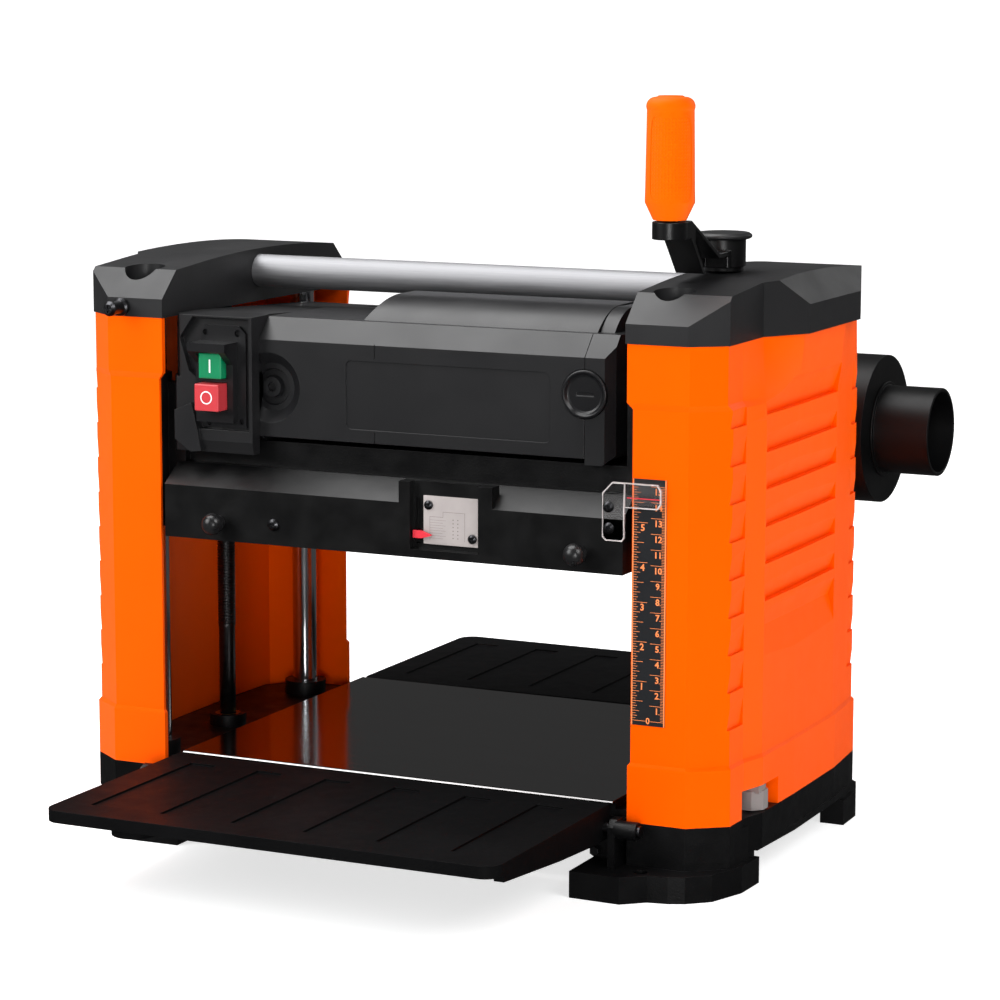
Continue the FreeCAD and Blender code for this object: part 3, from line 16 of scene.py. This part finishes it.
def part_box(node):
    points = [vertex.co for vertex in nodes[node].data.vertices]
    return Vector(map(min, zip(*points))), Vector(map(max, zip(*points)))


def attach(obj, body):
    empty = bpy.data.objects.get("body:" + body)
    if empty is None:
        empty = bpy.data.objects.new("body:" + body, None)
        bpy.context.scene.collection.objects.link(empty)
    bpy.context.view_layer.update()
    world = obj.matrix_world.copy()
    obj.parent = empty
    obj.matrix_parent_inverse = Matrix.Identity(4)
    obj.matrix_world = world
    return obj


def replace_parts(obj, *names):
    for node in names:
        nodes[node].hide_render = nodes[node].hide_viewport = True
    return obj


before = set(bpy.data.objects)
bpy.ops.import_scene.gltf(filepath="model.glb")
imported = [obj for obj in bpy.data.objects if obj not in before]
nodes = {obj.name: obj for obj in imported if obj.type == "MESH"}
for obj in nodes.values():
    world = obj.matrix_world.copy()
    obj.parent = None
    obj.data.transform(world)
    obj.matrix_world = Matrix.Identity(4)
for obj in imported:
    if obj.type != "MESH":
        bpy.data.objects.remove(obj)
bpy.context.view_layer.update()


# ---------------------------------------------------------------- material helpers

class Look:
    """A material under construction: a Principled shader and the textures that feed it."""

    def __init__(self, name, metallic=0.0, **sockets):
        self.material = bpy.data.materials.new(name)
        self.material.use_nodes = True
        self.tree = self.material.node_tree
        self.shader = self.tree.nodes["Principled BSDF"]
        self.shader.inputs["Metallic"].default_value = metallic
        for socket, value in sockets.items():
            self.shader.inputs[socket.replace("_", " ")].default_value = value
        self.place = self.tree.nodes.new("ShaderNodeTexCoord").outputs["Object"]

    def stretched(self, scale):
        """The piece's own coordinates, scaled along each axis."""
        mapping = self.tree.nodes.new("ShaderNodeMapping")
        mapping.inputs["Scale"].default_value = scale
        self.tree.links.new(self.place, mapping.inputs["Vector"])
        return mapping.outputs["Vector"]

    def noise(self, scale, detail=3.0, rough=0.55, stretch=None):
        """Noise with features about 1/scale metres across."""
        node = self.tree.nodes.new("ShaderNodeTexNoise")
        node.inputs["Scale"].default_value = scale
        node.inputs["Detail"].default_value = detail
        node.inputs["Roughness"].default_value = rough
        self.tree.links.new(self.stretched(stretch) if stretch else self.place,
                            node.inputs["Vector"])
        return node.outputs["Fac"]

    def cells(self, scale):
        """Small cells, for pebbled and cast surfaces."""
        node = self.tree.nodes.new("ShaderNodeTexVoronoi")
        node.inputs["Scale"].default_value = scale
        self.tree.links.new(self.place, node.inputs["Vector"])
        return node.outputs["Distance"]

    def spread(self, value, low, high, at=(0.3, 0.7)):
        """A value from 0 to 1 turned into a number between low and high."""
        node = self.tree.nodes.new("ShaderNodeMapRange")
        node.inputs["From Min"].default_value = at[0]
        node.inputs["From Max"].default_value = at[1]
        node.inputs["To Min"].default_value = low
        node.inputs["To Max"].default_value = high
        self.tree.links.new(value, node.inputs["Value"])
        return node.outputs["Result"]

    def ramp(self, value, stops):
        """A colour ramp: stops are (position, (r, g, b))."""
        node = self.tree.nodes.new("ShaderNodeValToRGB")
        ramp = node.color_ramp
        while len(ramp.elements) < len(stops):
            ramp.elements.new(0.5)
        for element, (position, colour) in zip(ramp.elements, stops):
            element.position = position
            element.color = (*colour, 1.0)
        self.tree.links.new(value, node.inputs["Fac"])
        return node.outputs["Color"]

    def feed(self, socket, value):
        """Drive one of the shader's sockets."""
        self.tree.links.new(value, self.shader.inputs[socket])

    def bump(self, *layers):
        """Surface relief from (height, strength, depth in metres) layers."""
        normal = None
        for height, strength, depth in layers:
            node = self.tree.nodes.new("ShaderNodeBump")
            node.inputs["Strength"].default_value = strength
            node.inputs["Distance"].default_value = depth
            self.tree.links.new(height, node.inputs["Height"])
            if normal:
                self.tree.links.new(normal, node.inputs["Normal"])
            normal = node.outputs["Normal"]
        self.feed("Normal", normal)


def shade(colour, factor):
    """A lighter or darker copy of a colour."""
    return tuple(min(1.0, part * factor) for part in colour)


def moulded(name, colour, rough=(0.36, 0.5), grain=1500, depth=0.00006, spread=0.12, **sockets):
    """Injection-moulded plastic: fine spark grain, faint flow marks, and a soft shine."""
    look = Look(name, **sockets)
    flow = look.noise(9, detail=4)
    look.feed("Base Color", look.ramp(flow, [(0.25, shade(colour, 1 - spread)),
                                             (0.75, shade(colour, 1 + spread))]))
    look.feed("Roughness", look.spread(look.noise(22, detail=5), *rough))
    look.bump((look.noise(grain, detail=2), 0.35, depth), (flow, 0.2, 0.0006))
    return look.material


def cast(name, colour, rough=(0.34, 0.52), pebble=900, depth=0.00012, **sockets):
    """Painted casting: a pebbled skin under satin paint, with slightly rubbed colour."""
    look = Look(name, **sockets)
    patches = look.noise(14, detail=6)
    look.feed("Base Color", look.ramp(patches, [(0.3, shade(colour, 0.82)),
                                                (0.7, shade(colour, 1.3))]))
    look.feed("Roughness", look.spread(look.noise(60, detail=4), *rough))
    look.bump((look.cells(pebble), 0.5, depth), (look.noise(45, detail=4), 0.3, 0.0005))
    return look.material


def metal(name, colour, rough=(0.2, 0.34), stretch=(1, 1, 1), scale=300, depth=0.00002,
          tone=0.12, **sockets):
    """Bare or plated metal with fine working marks, drawn out along one axis by stretch."""
    look = Look(name, metallic=1.0, **sockets)
    marks = look.noise(scale, detail=5, stretch=stretch)
    look.feed("Base Color", look.ramp(marks, [(0.3, shade(colour, 1 - tone)),
                                              (0.7, shade(colour, 1 + tone))]))
    look.feed("Roughness", look.spread(marks, *rough))
    look.bump((marks, 0.3, depth))
    return look.material


def rubber(name, colour, rough=(0.6, 0.8)):
    """Rubber with a dry bloom."""
    look = Look(name)
    bloom = look.noise(120, detail=5)
    look.feed("Base Color", look.ramp(bloom, [(0.3, shade(colour, 0.8)),
                                              (0.75, shade(colour, 1.5))]))
    look.feed("Roughness", look.spread(bloom, *rough))
    look.bump((look.noise(1400, detail=3), 0.4, 0.00008))
    return look.material


# ---------------------------------------------------------------- materials

ORANGE = (1.0, 0.094, 0.0)

orange_shell = moulded("orange_shell", ORANGE, rough=(0.4, 0.52), grain=1300, spread=0.03,
                       IOR=1.25, Specular_IOR_Level=0.3, Specular_Tint=(1.0, 0.34, 0.05, 1.0))
orange_grip = moulded("orange_grip", (0.88, 0.112, 0.0), rough=(0.5, 0.62), grain=900, spread=0.03,
                      Specular_IOR_Level=0.25, Specular_Tint=(1.0, 0.34, 0.05, 1.0))
black_moulded = moulded("black_moulded", (0.012, 0.012, 0.013), rough=(0.4, 0.52), grain=1200)
black_cover = moulded("black_cover", (0.0085, 0.0085, 0.0095), rough=(0.34, 0.44), grain=1500)
black_drum = moulded("black_drum", (0.002, 0.002, 0.0022), rough=(0.4, 0.5), grain=1200,
                     Specular_IOR_Level=0.25)
black_switch = moulded("black_switch", (0.006, 0.006, 0.007), rough=(0.28, 0.38), grain=2200)
base_paint = cast("base_paint", (0.0022, 0.0022, 0.0025), Specular_IOR_Level=0.26)
table_paint = cast("table_paint", (0.003, 0.003, 0.0033), rough=(0.46, 0.56), pebble=1300,
                   depth=0.00008, Specular_IOR_Level=0.06)
apron_paint = cast("apron_paint", (0.0018, 0.0018, 0.002), rough=(0.3, 0.42), pebble=1800,
                   depth=0.00004, Specular_IOR_Level=0.45)
head_alloy = metal("head_alloy", (0.16, 0.16, 0.165), rough=(0.42, 0.6), scale=120, depth=0.0001)
bed_steel = metal("bed_steel", (0.29, 0.282, 0.28), rough=(0.1, 0.16), stretch=(0.1, 3, 1),
                  scale=60, depth=0.000002, tone=0.05)
tube_alloy = metal("tube_alloy", (0.36, 0.36, 0.373), rough=(0.58, 0.68), stretch=(0.04, 1, 1),
                   scale=900)
column_chrome = metal("column_chrome", (0.7, 0.71, 0.74), rough=(0.1, 0.18), stretch=(1, 1, 0.1),
                      scale=400, depth=0.000004, tone=0.04)
screw_steel = metal("screw_steel", (0.06, 0.06, 0.062), rough=(0.3, 0.45), scale=250)
black_zinc = metal("black_zinc", (0.07, 0.07, 0.075), rough=(0.26, 0.38), scale=700)
bright_steel = metal("bright_steel", (0.5, 0.5, 0.52), rough=(0.2, 0.34), scale=600)
dark_steel = metal("dark_steel", (0.1, 0.1, 0.1), rough=(0.35, 0.5), scale=400)
bronze = metal("bronze", (0.42, 0.26, 0.1), rough=(0.3, 0.42), scale=500)
laminate = metal("laminate", (0.22, 0.2, 0.18), rough=(0.35, 0.5), stretch=(40, 1, 1), scale=60)
gauge_plate_paint = cast("gauge_plate_paint", (0.4, 0.36, 0.35), rough=(0.4, 0.5), pebble=2600,
                         depth=0.00001)
black_rubber = rubber("black_rubber", (0.012, 0.012, 0.0125))
bumper_rubber = rubber("bumper_rubber", (0.008, 0.008, 0.0085), rough=(0.24, 0.34))
roller_rubber = rubber("roller_rubber", (0.03, 0.03, 0.032))
ruler_black = moulded("ruler_black", (0.012, 0.013, 0.015), rough=(0.3, 0.4), grain=2600)
ruler_print = moulded("ruler_print", (0.9, 0.24, 0.06), rough=(0.4, 0.5), grain=2600, spread=0.05)
green_plastic = moulded("green_plastic", (0.0, 0.22, 0.085), rough=(0.26, 0.36), grain=2400,
                        spread=0.04)
red_plastic = moulded("red_plastic", (0.52, 0.035, 0.045), rough=(0.26, 0.36), grain=2400,
                      spread=0.04)
pointer_red = moulded("pointer_red", (0.72, 0.02, 0.04), rough=(0.3, 0.4), grain=2400, spread=0.04)
white_print = moulded("white_print", (0.85, 0.87, 0.86), rough=(0.4, 0.5), grain=2400, spread=0.03)
grey_print = moulded("grey_print", (0.14, 0.12, 0.12), rough=(0.4, 0.5), grain=2400, spread=0.08)
clear_grey = moulded("clear_grey", (0.42, 0.39, 0.38), rough=(0.14, 0.24), grain=1800,
                     Transmission_Weight=0.45, IOR=1.49)
acrylic = moulded("acrylic", (0.95, 0.93, 0.93), rough=(0.03, 0.06), grain=500, depth=0.000005,
                  spread=0.02, Transmission_Weight=1.0, IOR=1.2)
# Lighter, less clear plastic for the bands round the pointer's outline: painted highlight where the
# polished edge catches light.
painted_edge_highlight = moulded("painted_edge_highlight", (0.8, 0.74, 0.73), rough=(0.2, 0.3), grain=1800,
                       spread=0.05, Transmission_Weight=0.35, IOR=1.49)

LOOKS = {
    orange_shell: ("left_tower_shell", "right_tower_shell"),
    orange_grip: ("crank_grip",),
    black_moulded: ("left_top_cap", "right_top_cap", "cable_gland", "crank_cap"),
    black_drum: ("dust_hood", "dust_drum", "dust_reducer"),
    black_cover: ("motor_cover", "end_cover", "top_shroud", "switch_panel"),
    black_switch: ("switch_box", "brush_cap"),
    base_paint: ("base_casting", "hinge_brackets", "head_casting", "motor_can"),
    table_paint: ("front_table", "rear_table"),
    apron_paint: ("front_apron", "crank_arm"),
    head_alloy: ("feed_gearbox",),
    bed_steel: ("bed_plate",),
    tube_alloy: ("cross_tube",),
    column_chrome: ("guide_columns",),
    screw_steel: ("left_lead_screw", "right_lead_screw"),
    black_zinc: ("cap_screws", "apron_screws", "table_stop_bolts", "hinge_pins"),
    bright_steel: ("cutter_knives", "cutter_bearings", "infeed_roller_shaft",
                   "outfeed_roller_shaft", "pawl_rod", "cutterhead", "cutter_pulley",
                   "motor_pulley"),
    dark_steel: ("kickback_pawls", "left_sprocket", "right_sprocket", "sync_chain"),
    bronze: ("lead_nuts", "screw_bushings"),
    laminate: ("motor_armature",),
    gauge_plate_paint: ("gauge_plate",),
    black_rubber: ("drive_belt",),
    bumper_rubber: ("table_bumpers",),
    roller_rubber: ("infeed_roller_rubber", "outfeed_roller_rubber"),
    ruler_black: ("scale_ruler",),
    green_plastic: ("start_button",),
    red_plastic: ("stop_button",),
    pointer_red: ("gauge_pointer",),
    clear_grey: ("depth_turret",),
    acrylic: ("height_pointer",),
}


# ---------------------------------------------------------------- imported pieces

SOFT_EDGE = {"left_tower_shell": 1.1, "right_tower_shell": 1.1, "left_top_cap": 1.2,
             "right_top_cap": 1.2, "motor_cover": 1.2, "end_cover": 1.2, "top_shroud": 1.2,
             "switch_panel": 1.0, "base_casting": 1.0, "front_table": 1.0, "rear_table": 1.0,
             "dust_drum": 1.2, "dust_reducer": 0.6, "switch_box": 0.8, "start_button": 0.9,
             "stop_button": 0.9, "crank_arm": 0.9, "height_pointer": 0.3, "gauge_plate": 0.15,
             "scale_ruler": 0.08, "front_apron": 0.5, "cap_screws": 0.2, "apron_screws": 0.2,
             "bed_plate": 0.15, "gauge_pointer": 0.15, "kickback_pawls": 0.2}


def soften(piece, width):
    """Close the mesh up, then give every sharp edge a small radius."""
    weld = piece.modifiers.new("weld", "WELD")
    weld.merge_threshold = 0.00001
    flat = piece.modifiers.new("flat", "DECIMATE")
    flat.decimate_type = "DISSOLVE"
    flat.angle_limit = math.radians(0.5)
    bevel = piece.modifiers.new("edge", "BEVEL")
    bevel.width = width / 1000
    bevel.segments = 2
    bevel.limit_method = "ANGLE"
    bevel.angle_limit = math.radians(32)
    bevel.use_clamp_overlap = True
    bevel.harden_normals = True
    smooth = piece.modifiers.new("normals", "WEIGHTED_NORMAL")
    smooth.keep_sharp = True


def dress_packed_pieces():
    """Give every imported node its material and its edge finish."""
    for look, names in LOOKS.items():
        for name in names:
            piece = nodes[name]
            for place in piece.material_slots:
                place.material = look
            soften(piece, SOFT_EDGE.get(name, 0.4))


dress_packed_pieces()


# ---------------------------------------------------------------- detailed pieces

class Solid:
    """A mesh under construction, from corners given in millimetres."""

    def __init__(self):
        self.corners = []
        self.faces = []

    def add(self, corners, faces):
        """Add corners and the faces that join them."""
        first = len(self.corners)
        self.corners += [tuple(part / 1000 for part in corner) for corner in corners]
        self.faces += [tuple(first + index for index in face) for face in faces]

    def block(self, low, high):
        """A rectangular block between two corners."""
        corners = [(x, y, z) for x in (low[0], high[0]) for y in (low[1], high[1])
                   for z in (low[2], high[2])]
        self.add(corners, [(0, 1, 3, 2), (4, 6, 7, 5), (0, 4, 5, 1), (2, 3, 7, 6), (0, 2, 6, 4),
                           (1, 5, 7, 3)])

    def ribbon(self, loop, width, front, back):
        """A closed flat band inside an (x, z) loop, between two levels along Y."""
        count = len(loop)
        middle = [sum(point[axis] for point in loop) / count for axis in (0, 1)]
        inner = []
        for x, z in loop:
            away = math.hypot(x - middle[0], z - middle[1])
            share = 1 - width / away
            inner.append((middle[0] + (x - middle[0]) * share, middle[1] + (z - middle[1]) * share))
        corners = [(x, y, z) for y, points in ((front, loop), (front, inner), (back, inner),
                                               (back, loop)) for x, z in points]
        faces = []
        for ring in range(4):
            for index in range(count):
                after = (index + 1) % count
                faces.append((ring * count + index, ring * count + after,
                              (ring + 1) % 4 * count + after, (ring + 1) % 4 * count + index))
        self.add(corners, faces)

    def stud(self, centre, outward, across, up, half, height):
        """A small four-sided point standing on a surface."""
        base = [centre + across * a * half + up * b * half
                for a, b in ((-1, -1), (1, -1), (1, 1), (-1, 1))]
        tip = centre + outward * height
        back = centre - outward * height
        self.add([tuple(point) for point in base + [tip, back]],
                 [(0, 1, 4), (1, 2, 4), (2, 3, 4), (3, 0, 4), (1, 0, 5), (2, 1, 5), (3, 2, 5),
                  (0, 3, 5)])

    def piece(self, name, look, body, slot, smooth=False):
        """The finished object, riding on a body with the given look as its material; slot is not
        used.
        """
        mesh = bpy.data.meshes.new(name)
        mesh.from_pydata(self.corners, [], self.faces)
        shape = bmesh.new()
        shape.from_mesh(mesh)
        bmesh.ops.recalc_face_normals(shape, faces=shape.faces)
        shape.to_mesh(mesh)
        shape.free()
        for face in mesh.polygons:
            face.use_smooth = smooth
        mesh.materials.append(look)
        thing = bpy.data.objects.new(name, mesh)
        bpy.context.collection.objects.link(thing)
        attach(thing, body)
        return thing


INCH = 25.4
FONT_SIZE_PER_HEIGHT = 1.38
FIGURE_WEIGHT = 0.14


def box_mm(node):
    """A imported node's low and high corners in millimetres."""
    low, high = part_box(node)
    return [part * 1000 for part in low], [part * 1000 for part in high]


def digits(solid, text, centre_x, centre_z, height, level, thick):
    """A number's figures as thin solids, facing the infeed side."""
    curve = bpy.data.curves.new("figures", "FONT")
    curve.body = text
    curve.align_x = "CENTER"
    curve.align_y = "CENTER"
    curve.size = height * FONT_SIZE_PER_HEIGHT
    curve.offset = FIGURE_WEIGHT
    curve.extrude = thick / 2
    curve.resolution_u = 2
    holder = bpy.data.objects.new("figures", curve)
    bpy.context.collection.objects.link(holder)
    bpy.context.view_layer.update()
    mesh = bpy.data.meshes.new_from_object(
        holder.evaluated_get(bpy.context.evaluated_depsgraph_get()))
    corners = [(centre_x + point.co.x, level - point.co.z, centre_z + point.co.y)
               for point in mesh.vertices]
    solid.add(corners, [tuple(face.vertices) for face in mesh.polygons])
    bpy.data.objects.remove(holder)
    bpy.data.curves.remove(curve)
    bpy.data.meshes.remove(mesh)


def scale_marks():
    """Printed inch and centimetre marks on the height scale, from its zero upwards."""
    low, high = box_mm("scale_ruler")
    solid = Solid()
    front, back = low[1] - 0.06, low[1] + 0.05
    zero, top = low[2] + 3, high[2] - 4
    left, right = low[0] + 0.9, high[0] - 0.9

    def line(x_from, x_to, z, thick):
        solid.block((x_from, front, z - thick / 2), (x_to, back, z + thick / 2))

    lengths = {16: 9.5, 8: 7.0, 4: 4.6, 2: 3.2, 1: 2.2}
    for step in range(int((top - zero) / INCH * 16) + 1):
        size = next(part for part in (16, 8, 4, 2, 1) if step % part == 0)
        line(left, left + lengths[size], zero + step * INCH / 16, 0.28)
    for step in range(int(top - zero) + 1):
        length = 9.5 if step % 10 == 0 else 3.4 if step % 5 == 0 else 2.1
        line(right - length, right, zero + step, 0.26)
    level = low[1] - 0.02
    for number in range(1, int((top - zero) / INCH) + 1):
        digits(solid, str(number), left + 6.2, zero + number * INCH - 3.4, 4.3, level, 0.08)
    for number in range(1, int((top - zero) / 10) + 1):
        digits(solid, str(number), right - 4.6, zero + number * 10 - 3.4, 4.1, level, 0.08)
    digits(solid, "0", (left + right) / 2, zero, 4.1, level, 0.08)
    for x in (low[0] + 0.1, high[0] - 0.9):
        solid.block((x, front, low[2] + 0.1), (x + 0.8, back, high[2] - 0.1))
    solid.piece("scale_marks", ruler_print, "frame", "scale_ruler")


def button_symbols():
    """The white bar on the start button and the ring on the stop button."""
    low, high = box_mm("start_button")
    x, z = (low[0] + high[0]) / 2, (low[2] + high[2]) / 2
    bar = Solid()
    bar.block((x - 0.55, low[1] - 0.12, z - 4.4), (x + 0.55, low[1] + 0.05, z + 4.4))
    bar.piece("start_symbol", white_print, "start_button", "start_button")
    low, high = box_mm("stop_button")
    x, z = (low[0] + high[0]) / 2, (low[2] + high[2]) / 2
    ring = Solid()
    loop = [(x + 4.4 * math.cos(a), z + 4.4 * math.sin(a))
            for a in (math.radians(10 * step) for step in range(36))]
    ring.ribbon(loop, 0.8, low[1] - 0.12, low[1] + 0.05)
    ring.piece("stop_symbol", white_print, "stop_button", "stop_button")


def gauge_marks():
    """Etched step diagram and dots on the cut-depth gauge's plate."""
    low = box_mm("gauge_plate")[0]
    front, back = low[1] - 0.03, low[1] + 0.05
    marks = Solid()

    def stroke(x_from, z_from, x_to, z_to):
        marks.block((low[0] + x_from, front, low[2] + z_from), (low[0] + x_to, back, low[2] + z_to))

    stroke(4.5, 2.5, 4.7, 18)
    stroke(4.5, 18, 14, 18.2)
    stroke(14, 18, 14.2, 21.5)
    stroke(14, 21.5, 29.6, 21.7)
    stroke(29.6, 3, 29.8, 21.7)
    for step in range(8):
        stroke(4.7, 4 + step * 1.7, 14 + step % 2 * 2, 4.15 + step * 1.7)
    for column in (21, 24.4):
        for row in range(6):
            stroke(column, 4.5 + row * 2.4, column + 0.7, 5.2 + row * 2.4)
    marks.piece("gauge_marks", grey_print, "head", "gauge_plate")


def pointer_marks():
    """Hairline, and bands of lighter, less clear plastic round the clear height pointer's outline:
    painted highlight for the light its polished edge catches.
    """
    low, high = box_mm("height_pointer")
    hair = Solid()
    z = high[2] - 9.4
    hair.block((low[0] + 17, low[1] - 0.1, z - 0.28), (high[0] - 0.6, low[1] + 0.1, z + 0.28))
    hair.piece("pointer_hairline", pointer_red, "head", "height_pointer")
    # Lighter, less clear bands along the tab and window outline: painted highlight on the polished
    # edge.
    edge_highlight = Solid()
    tab = [(low[0] + 0.1, 228.6), (low[0] + 2.2, 226.4), (166.8, 226.4), (168.4, 228.6),
           (168.4, 247), (168.4, 263.8), (160.2, 263.8), (low[0] + 0.1, 256.8)]
    edge_highlight.ribbon(tab, 0.75, low[1] - 0.05, high[1] - 0.1)
    window = [(168.2, 248.2), (180, 248.2), (190.9, 248.2), (193.3, 251.6), (193.3, 260.4),
              (190.9, 263.8), (180, 263.8), (168.2, 263.8)]
    edge_highlight.ribbon(window, 0.75, low[1] - 0.05, high[1] - 0.1)
    edge_highlight.piece("pointer_edge_highlight", painted_edge_highlight, "head", "height_pointer")


def grip_texture():
    """A dotted panel with a raised border on two sides of the crank's grip."""
    low, high = box_mm("crank_grip")
    axis = Vector(((low[0] + high[0]) / 2, (low[1] + high[1]) / 2, 0))
    widest, foot, length = (high[0] - low[0]) / 2 - 0.2, low[2] + 20, high[2] - low[2] - 29

    def surface(z):
        """The grip's radius at a height: it narrows evenly above its foot."""
        return widest - 0.7 * min(1.0, max(0.0, (z - foot) / length))

    dots = Solid()
    up = Vector((0, 0, 1))
    for side in (-64.5, 115.5):
        for column in range(-6, 7):
            turn = math.radians(side + column * 8)
            outward = Vector((math.cos(turn), math.sin(turn), 0))
            across = Vector((-math.sin(turn), math.cos(turn), 0))
            for row in range(24):
                z = low[2] + 14.5 + row * 2.1
                centre = axis + outward * surface(z) + up * z
                dots.stud(centre, outward, across, up, 0.62, 0.42)
        rim = []
        for step in range(0, 360, 6):
            turn = math.radians(step)
            flat = [abs(part) ** 0.3 * (1 if part > 0 else -1)
                    for part in (math.cos(turn), math.sin(turn))]
            rim.append((side + 57 * flat[0], low[2] + 38.7 + 27.5 * flat[1]))
        rings = [(-0.3, 1.0), (0.35, 1.0), (0.35, 0.965), (-0.3, 0.965)]
        corners = []
        for rise, share in rings:
            for angle, height in rim:
                turn = math.radians(side + (angle - side) * share)
                level = low[2] + 38.7 + (height - low[2] - 38.7) * share
                reach = surface(level) + rise
                corners.append((axis.x + reach * math.cos(turn), axis.y + reach * math.sin(turn),
                                level))
        count = len(rim)
        dots.add(corners, [(a * count + b, a * count + (b + 1) % count,
                            (a + 1) % 4 * count + (b + 1) % count, (a + 1) % 4 * count + b)
                           for a in range(4) for b in range(count)])
    dots.piece("grip_texture", orange_grip, "crank_grip", "crank_grip")


def threaded_screw(node, body):
    """A lead screw with its real helical thread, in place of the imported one's plain rings."""
    low, high = box_mm(node)
    x, y = (low[0] + high[0]) / 2, (low[1] + high[1]) / 2
    crest, journal, shank, pitch, sides = (high[0] - low[0]) / 2, 6.0, 5.75, 2.0, 24
    rows = [(low[2], 0.01, 0), (low[2], shank, 0), (120, shank, 0), (122, crest - 0.4, 0)]
    rows += [(122.4 + step * pitch / 4, crest, 1) for step in range(int(222 / pitch * 4))]
    rows += [(344.8, crest - 0.4, 0), (345, journal, 0), (high[2], journal, 0),
             (high[2], 0.01, 0)]
    screw = Solid()
    corners, faces = [], []
    for z, radius, cut in rows:
        for side in range(sides):
            turn = 2 * math.pi * side / sides
            phase = (z / pitch - side / sides) % 1.0
            reach = radius - cut * 0.75 * (1 - abs(2 * phase - 1))
            corners.append((x + reach * math.cos(turn), y + reach * math.sin(turn), z))
    for row in range(len(rows) - 1):
        for side in range(sides):
            after = (side + 1) % sides
            faces.append((row * sides + side, row * sides + after,
                          (row + 1) * sides + after, (row + 1) * sides + side))
    faces += [tuple(range(sides)), tuple((len(rows) - 1) * sides + side for side in range(sides))]
    screw.add(corners, faces)
    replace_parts(screw.piece(body + "_thread", screw_steel, body, node, smooth=True), node)


scale_marks()
button_symbols()
gauge_marks()
pointer_marks()
grip_texture()
threaded_screw("left_lead_screw", "left_screw")
threaded_screw("right_lead_screw", "right_screw")


# ---------------------------------------------------------------- floor, light and camera

def make_floor():
    """A plain pale floor that curves up into a backdrop."""
    mesh = bpy.data.meshes.new("floor")
    shape = bmesh.new()
    profile = [(-6.0, 0.0), (3.0, 0.0)]
    profile += [(3.0 + 1.5 * math.sin(a), 1.5 - 1.5 * math.cos(a))
                for a in (math.radians(10 * step) for step in range(1, 10))]
    profile += [(4.5, 6.0)]
    turn = Matrix.Rotation(math.radians(25.5), 3, "Z")
    rows = [[shape.verts.new(turn @ Vector((x, y, z))) for x in (-7.0, 7.0)] for y, z in profile]
    for near, far in zip(rows, rows[1:]):
        shape.faces.new((near[0], near[1], far[1], far[0])).smooth = True
    shape.to_mesh(mesh)
    shape.free()
    floor = bpy.data.objects.new("floor", mesh)
    bpy.context.collection.objects.link(floor)
    look = Look("floor_paint", Roughness=0.6, Emission_Strength=0.7)
    look.shader.inputs["Emission Color"].default_value = (1.0, 1.0, 1.0, 1.0)
    look.feed("Base Color", look.ramp(look.noise(3, detail=2), [(0.3, (0.84, 0.84, 0.84)),
                                                                (0.7, (0.86, 0.86, 0.86))]))
    floor.visible_glossy = False
    mesh.materials.append(look.material)


def add_area(name, place, target, size, power, colour=(1, 1, 1)):
    """A soft rectangular light aimed at a point."""
    data = bpy.data.lights.new(name, "AREA")
    data.shape = "RECTANGLE"
    data.size, data.size_y = size
    data.energy = power
    data.color = colour
    light = bpy.data.objects.new(name, data)
    bpy.context.collection.objects.link(light)
    light.location = place
    light.rotation_euler = (Vector(target) - Vector(place)).to_track_quat("-Z", "Y").to_euler()


def make_lights():
    """Soft studio light: overhead, a key from the left, a side and a low fill, a rear strip."""
    centre = (0.0, 0.0, 0.25)
    add_area("top_panel", (-0.7, -0.15, 2.1), centre, (1.9, 1.7), 51)
    add_area("left_key", (-1.6, -2.0, 1.5), centre, (1.4, 1.4), 40)
    add_area("right_fill", (1.9, -0.9, 1.9), centre, (1.3, 1.3), 32)
    add_area("low_fill", (1.0, -2.3, 0.3), (-0.17, 0.0, 0.14), (0.5, 0.5), 13)
    add_area("rear_strip", (1.0, 2.3, 1.2), centre, (0.8, 1.0), 4)
    world = bpy.data.worlds.new("studio")
    world.use_nodes = True
    background = world.node_tree.nodes["Background"]
    background.inputs["Color"].default_value = (1.0, 1.0, 1.0, 1.0)
    background.inputs["Strength"].default_value = 0.06
    bpy.context.scene.world = world
    bpy.context.scene.view_settings.view_transform = "Standard"


def make_camera():
    """A long lens from the operator's right, a little above the bed."""
    data = bpy.data.cameras.new("camera")
    data.lens = 119.5
    data.sensor_width = 36.0
    data.clip_start = 0.05
    data.clip_end = 50.0
    camera = bpy.data.objects.new("camera", data)
    bpy.context.collection.objects.link(camera)
    camera.location = (0.9805, -2.0209, 0.5859)
    heading = Matrix.Rotation(math.radians(25.5), 4, "Z")
    tilt = Matrix.Rotation(math.radians(80.77), 4, "X")
    roll = Matrix.Rotation(math.radians(0.1), 4, "Z")
    camera.rotation_euler = (heading @ tilt @ roll).to_euler()
    bpy.context.scene.camera = camera


make_floor()
make_lights()
make_camera()
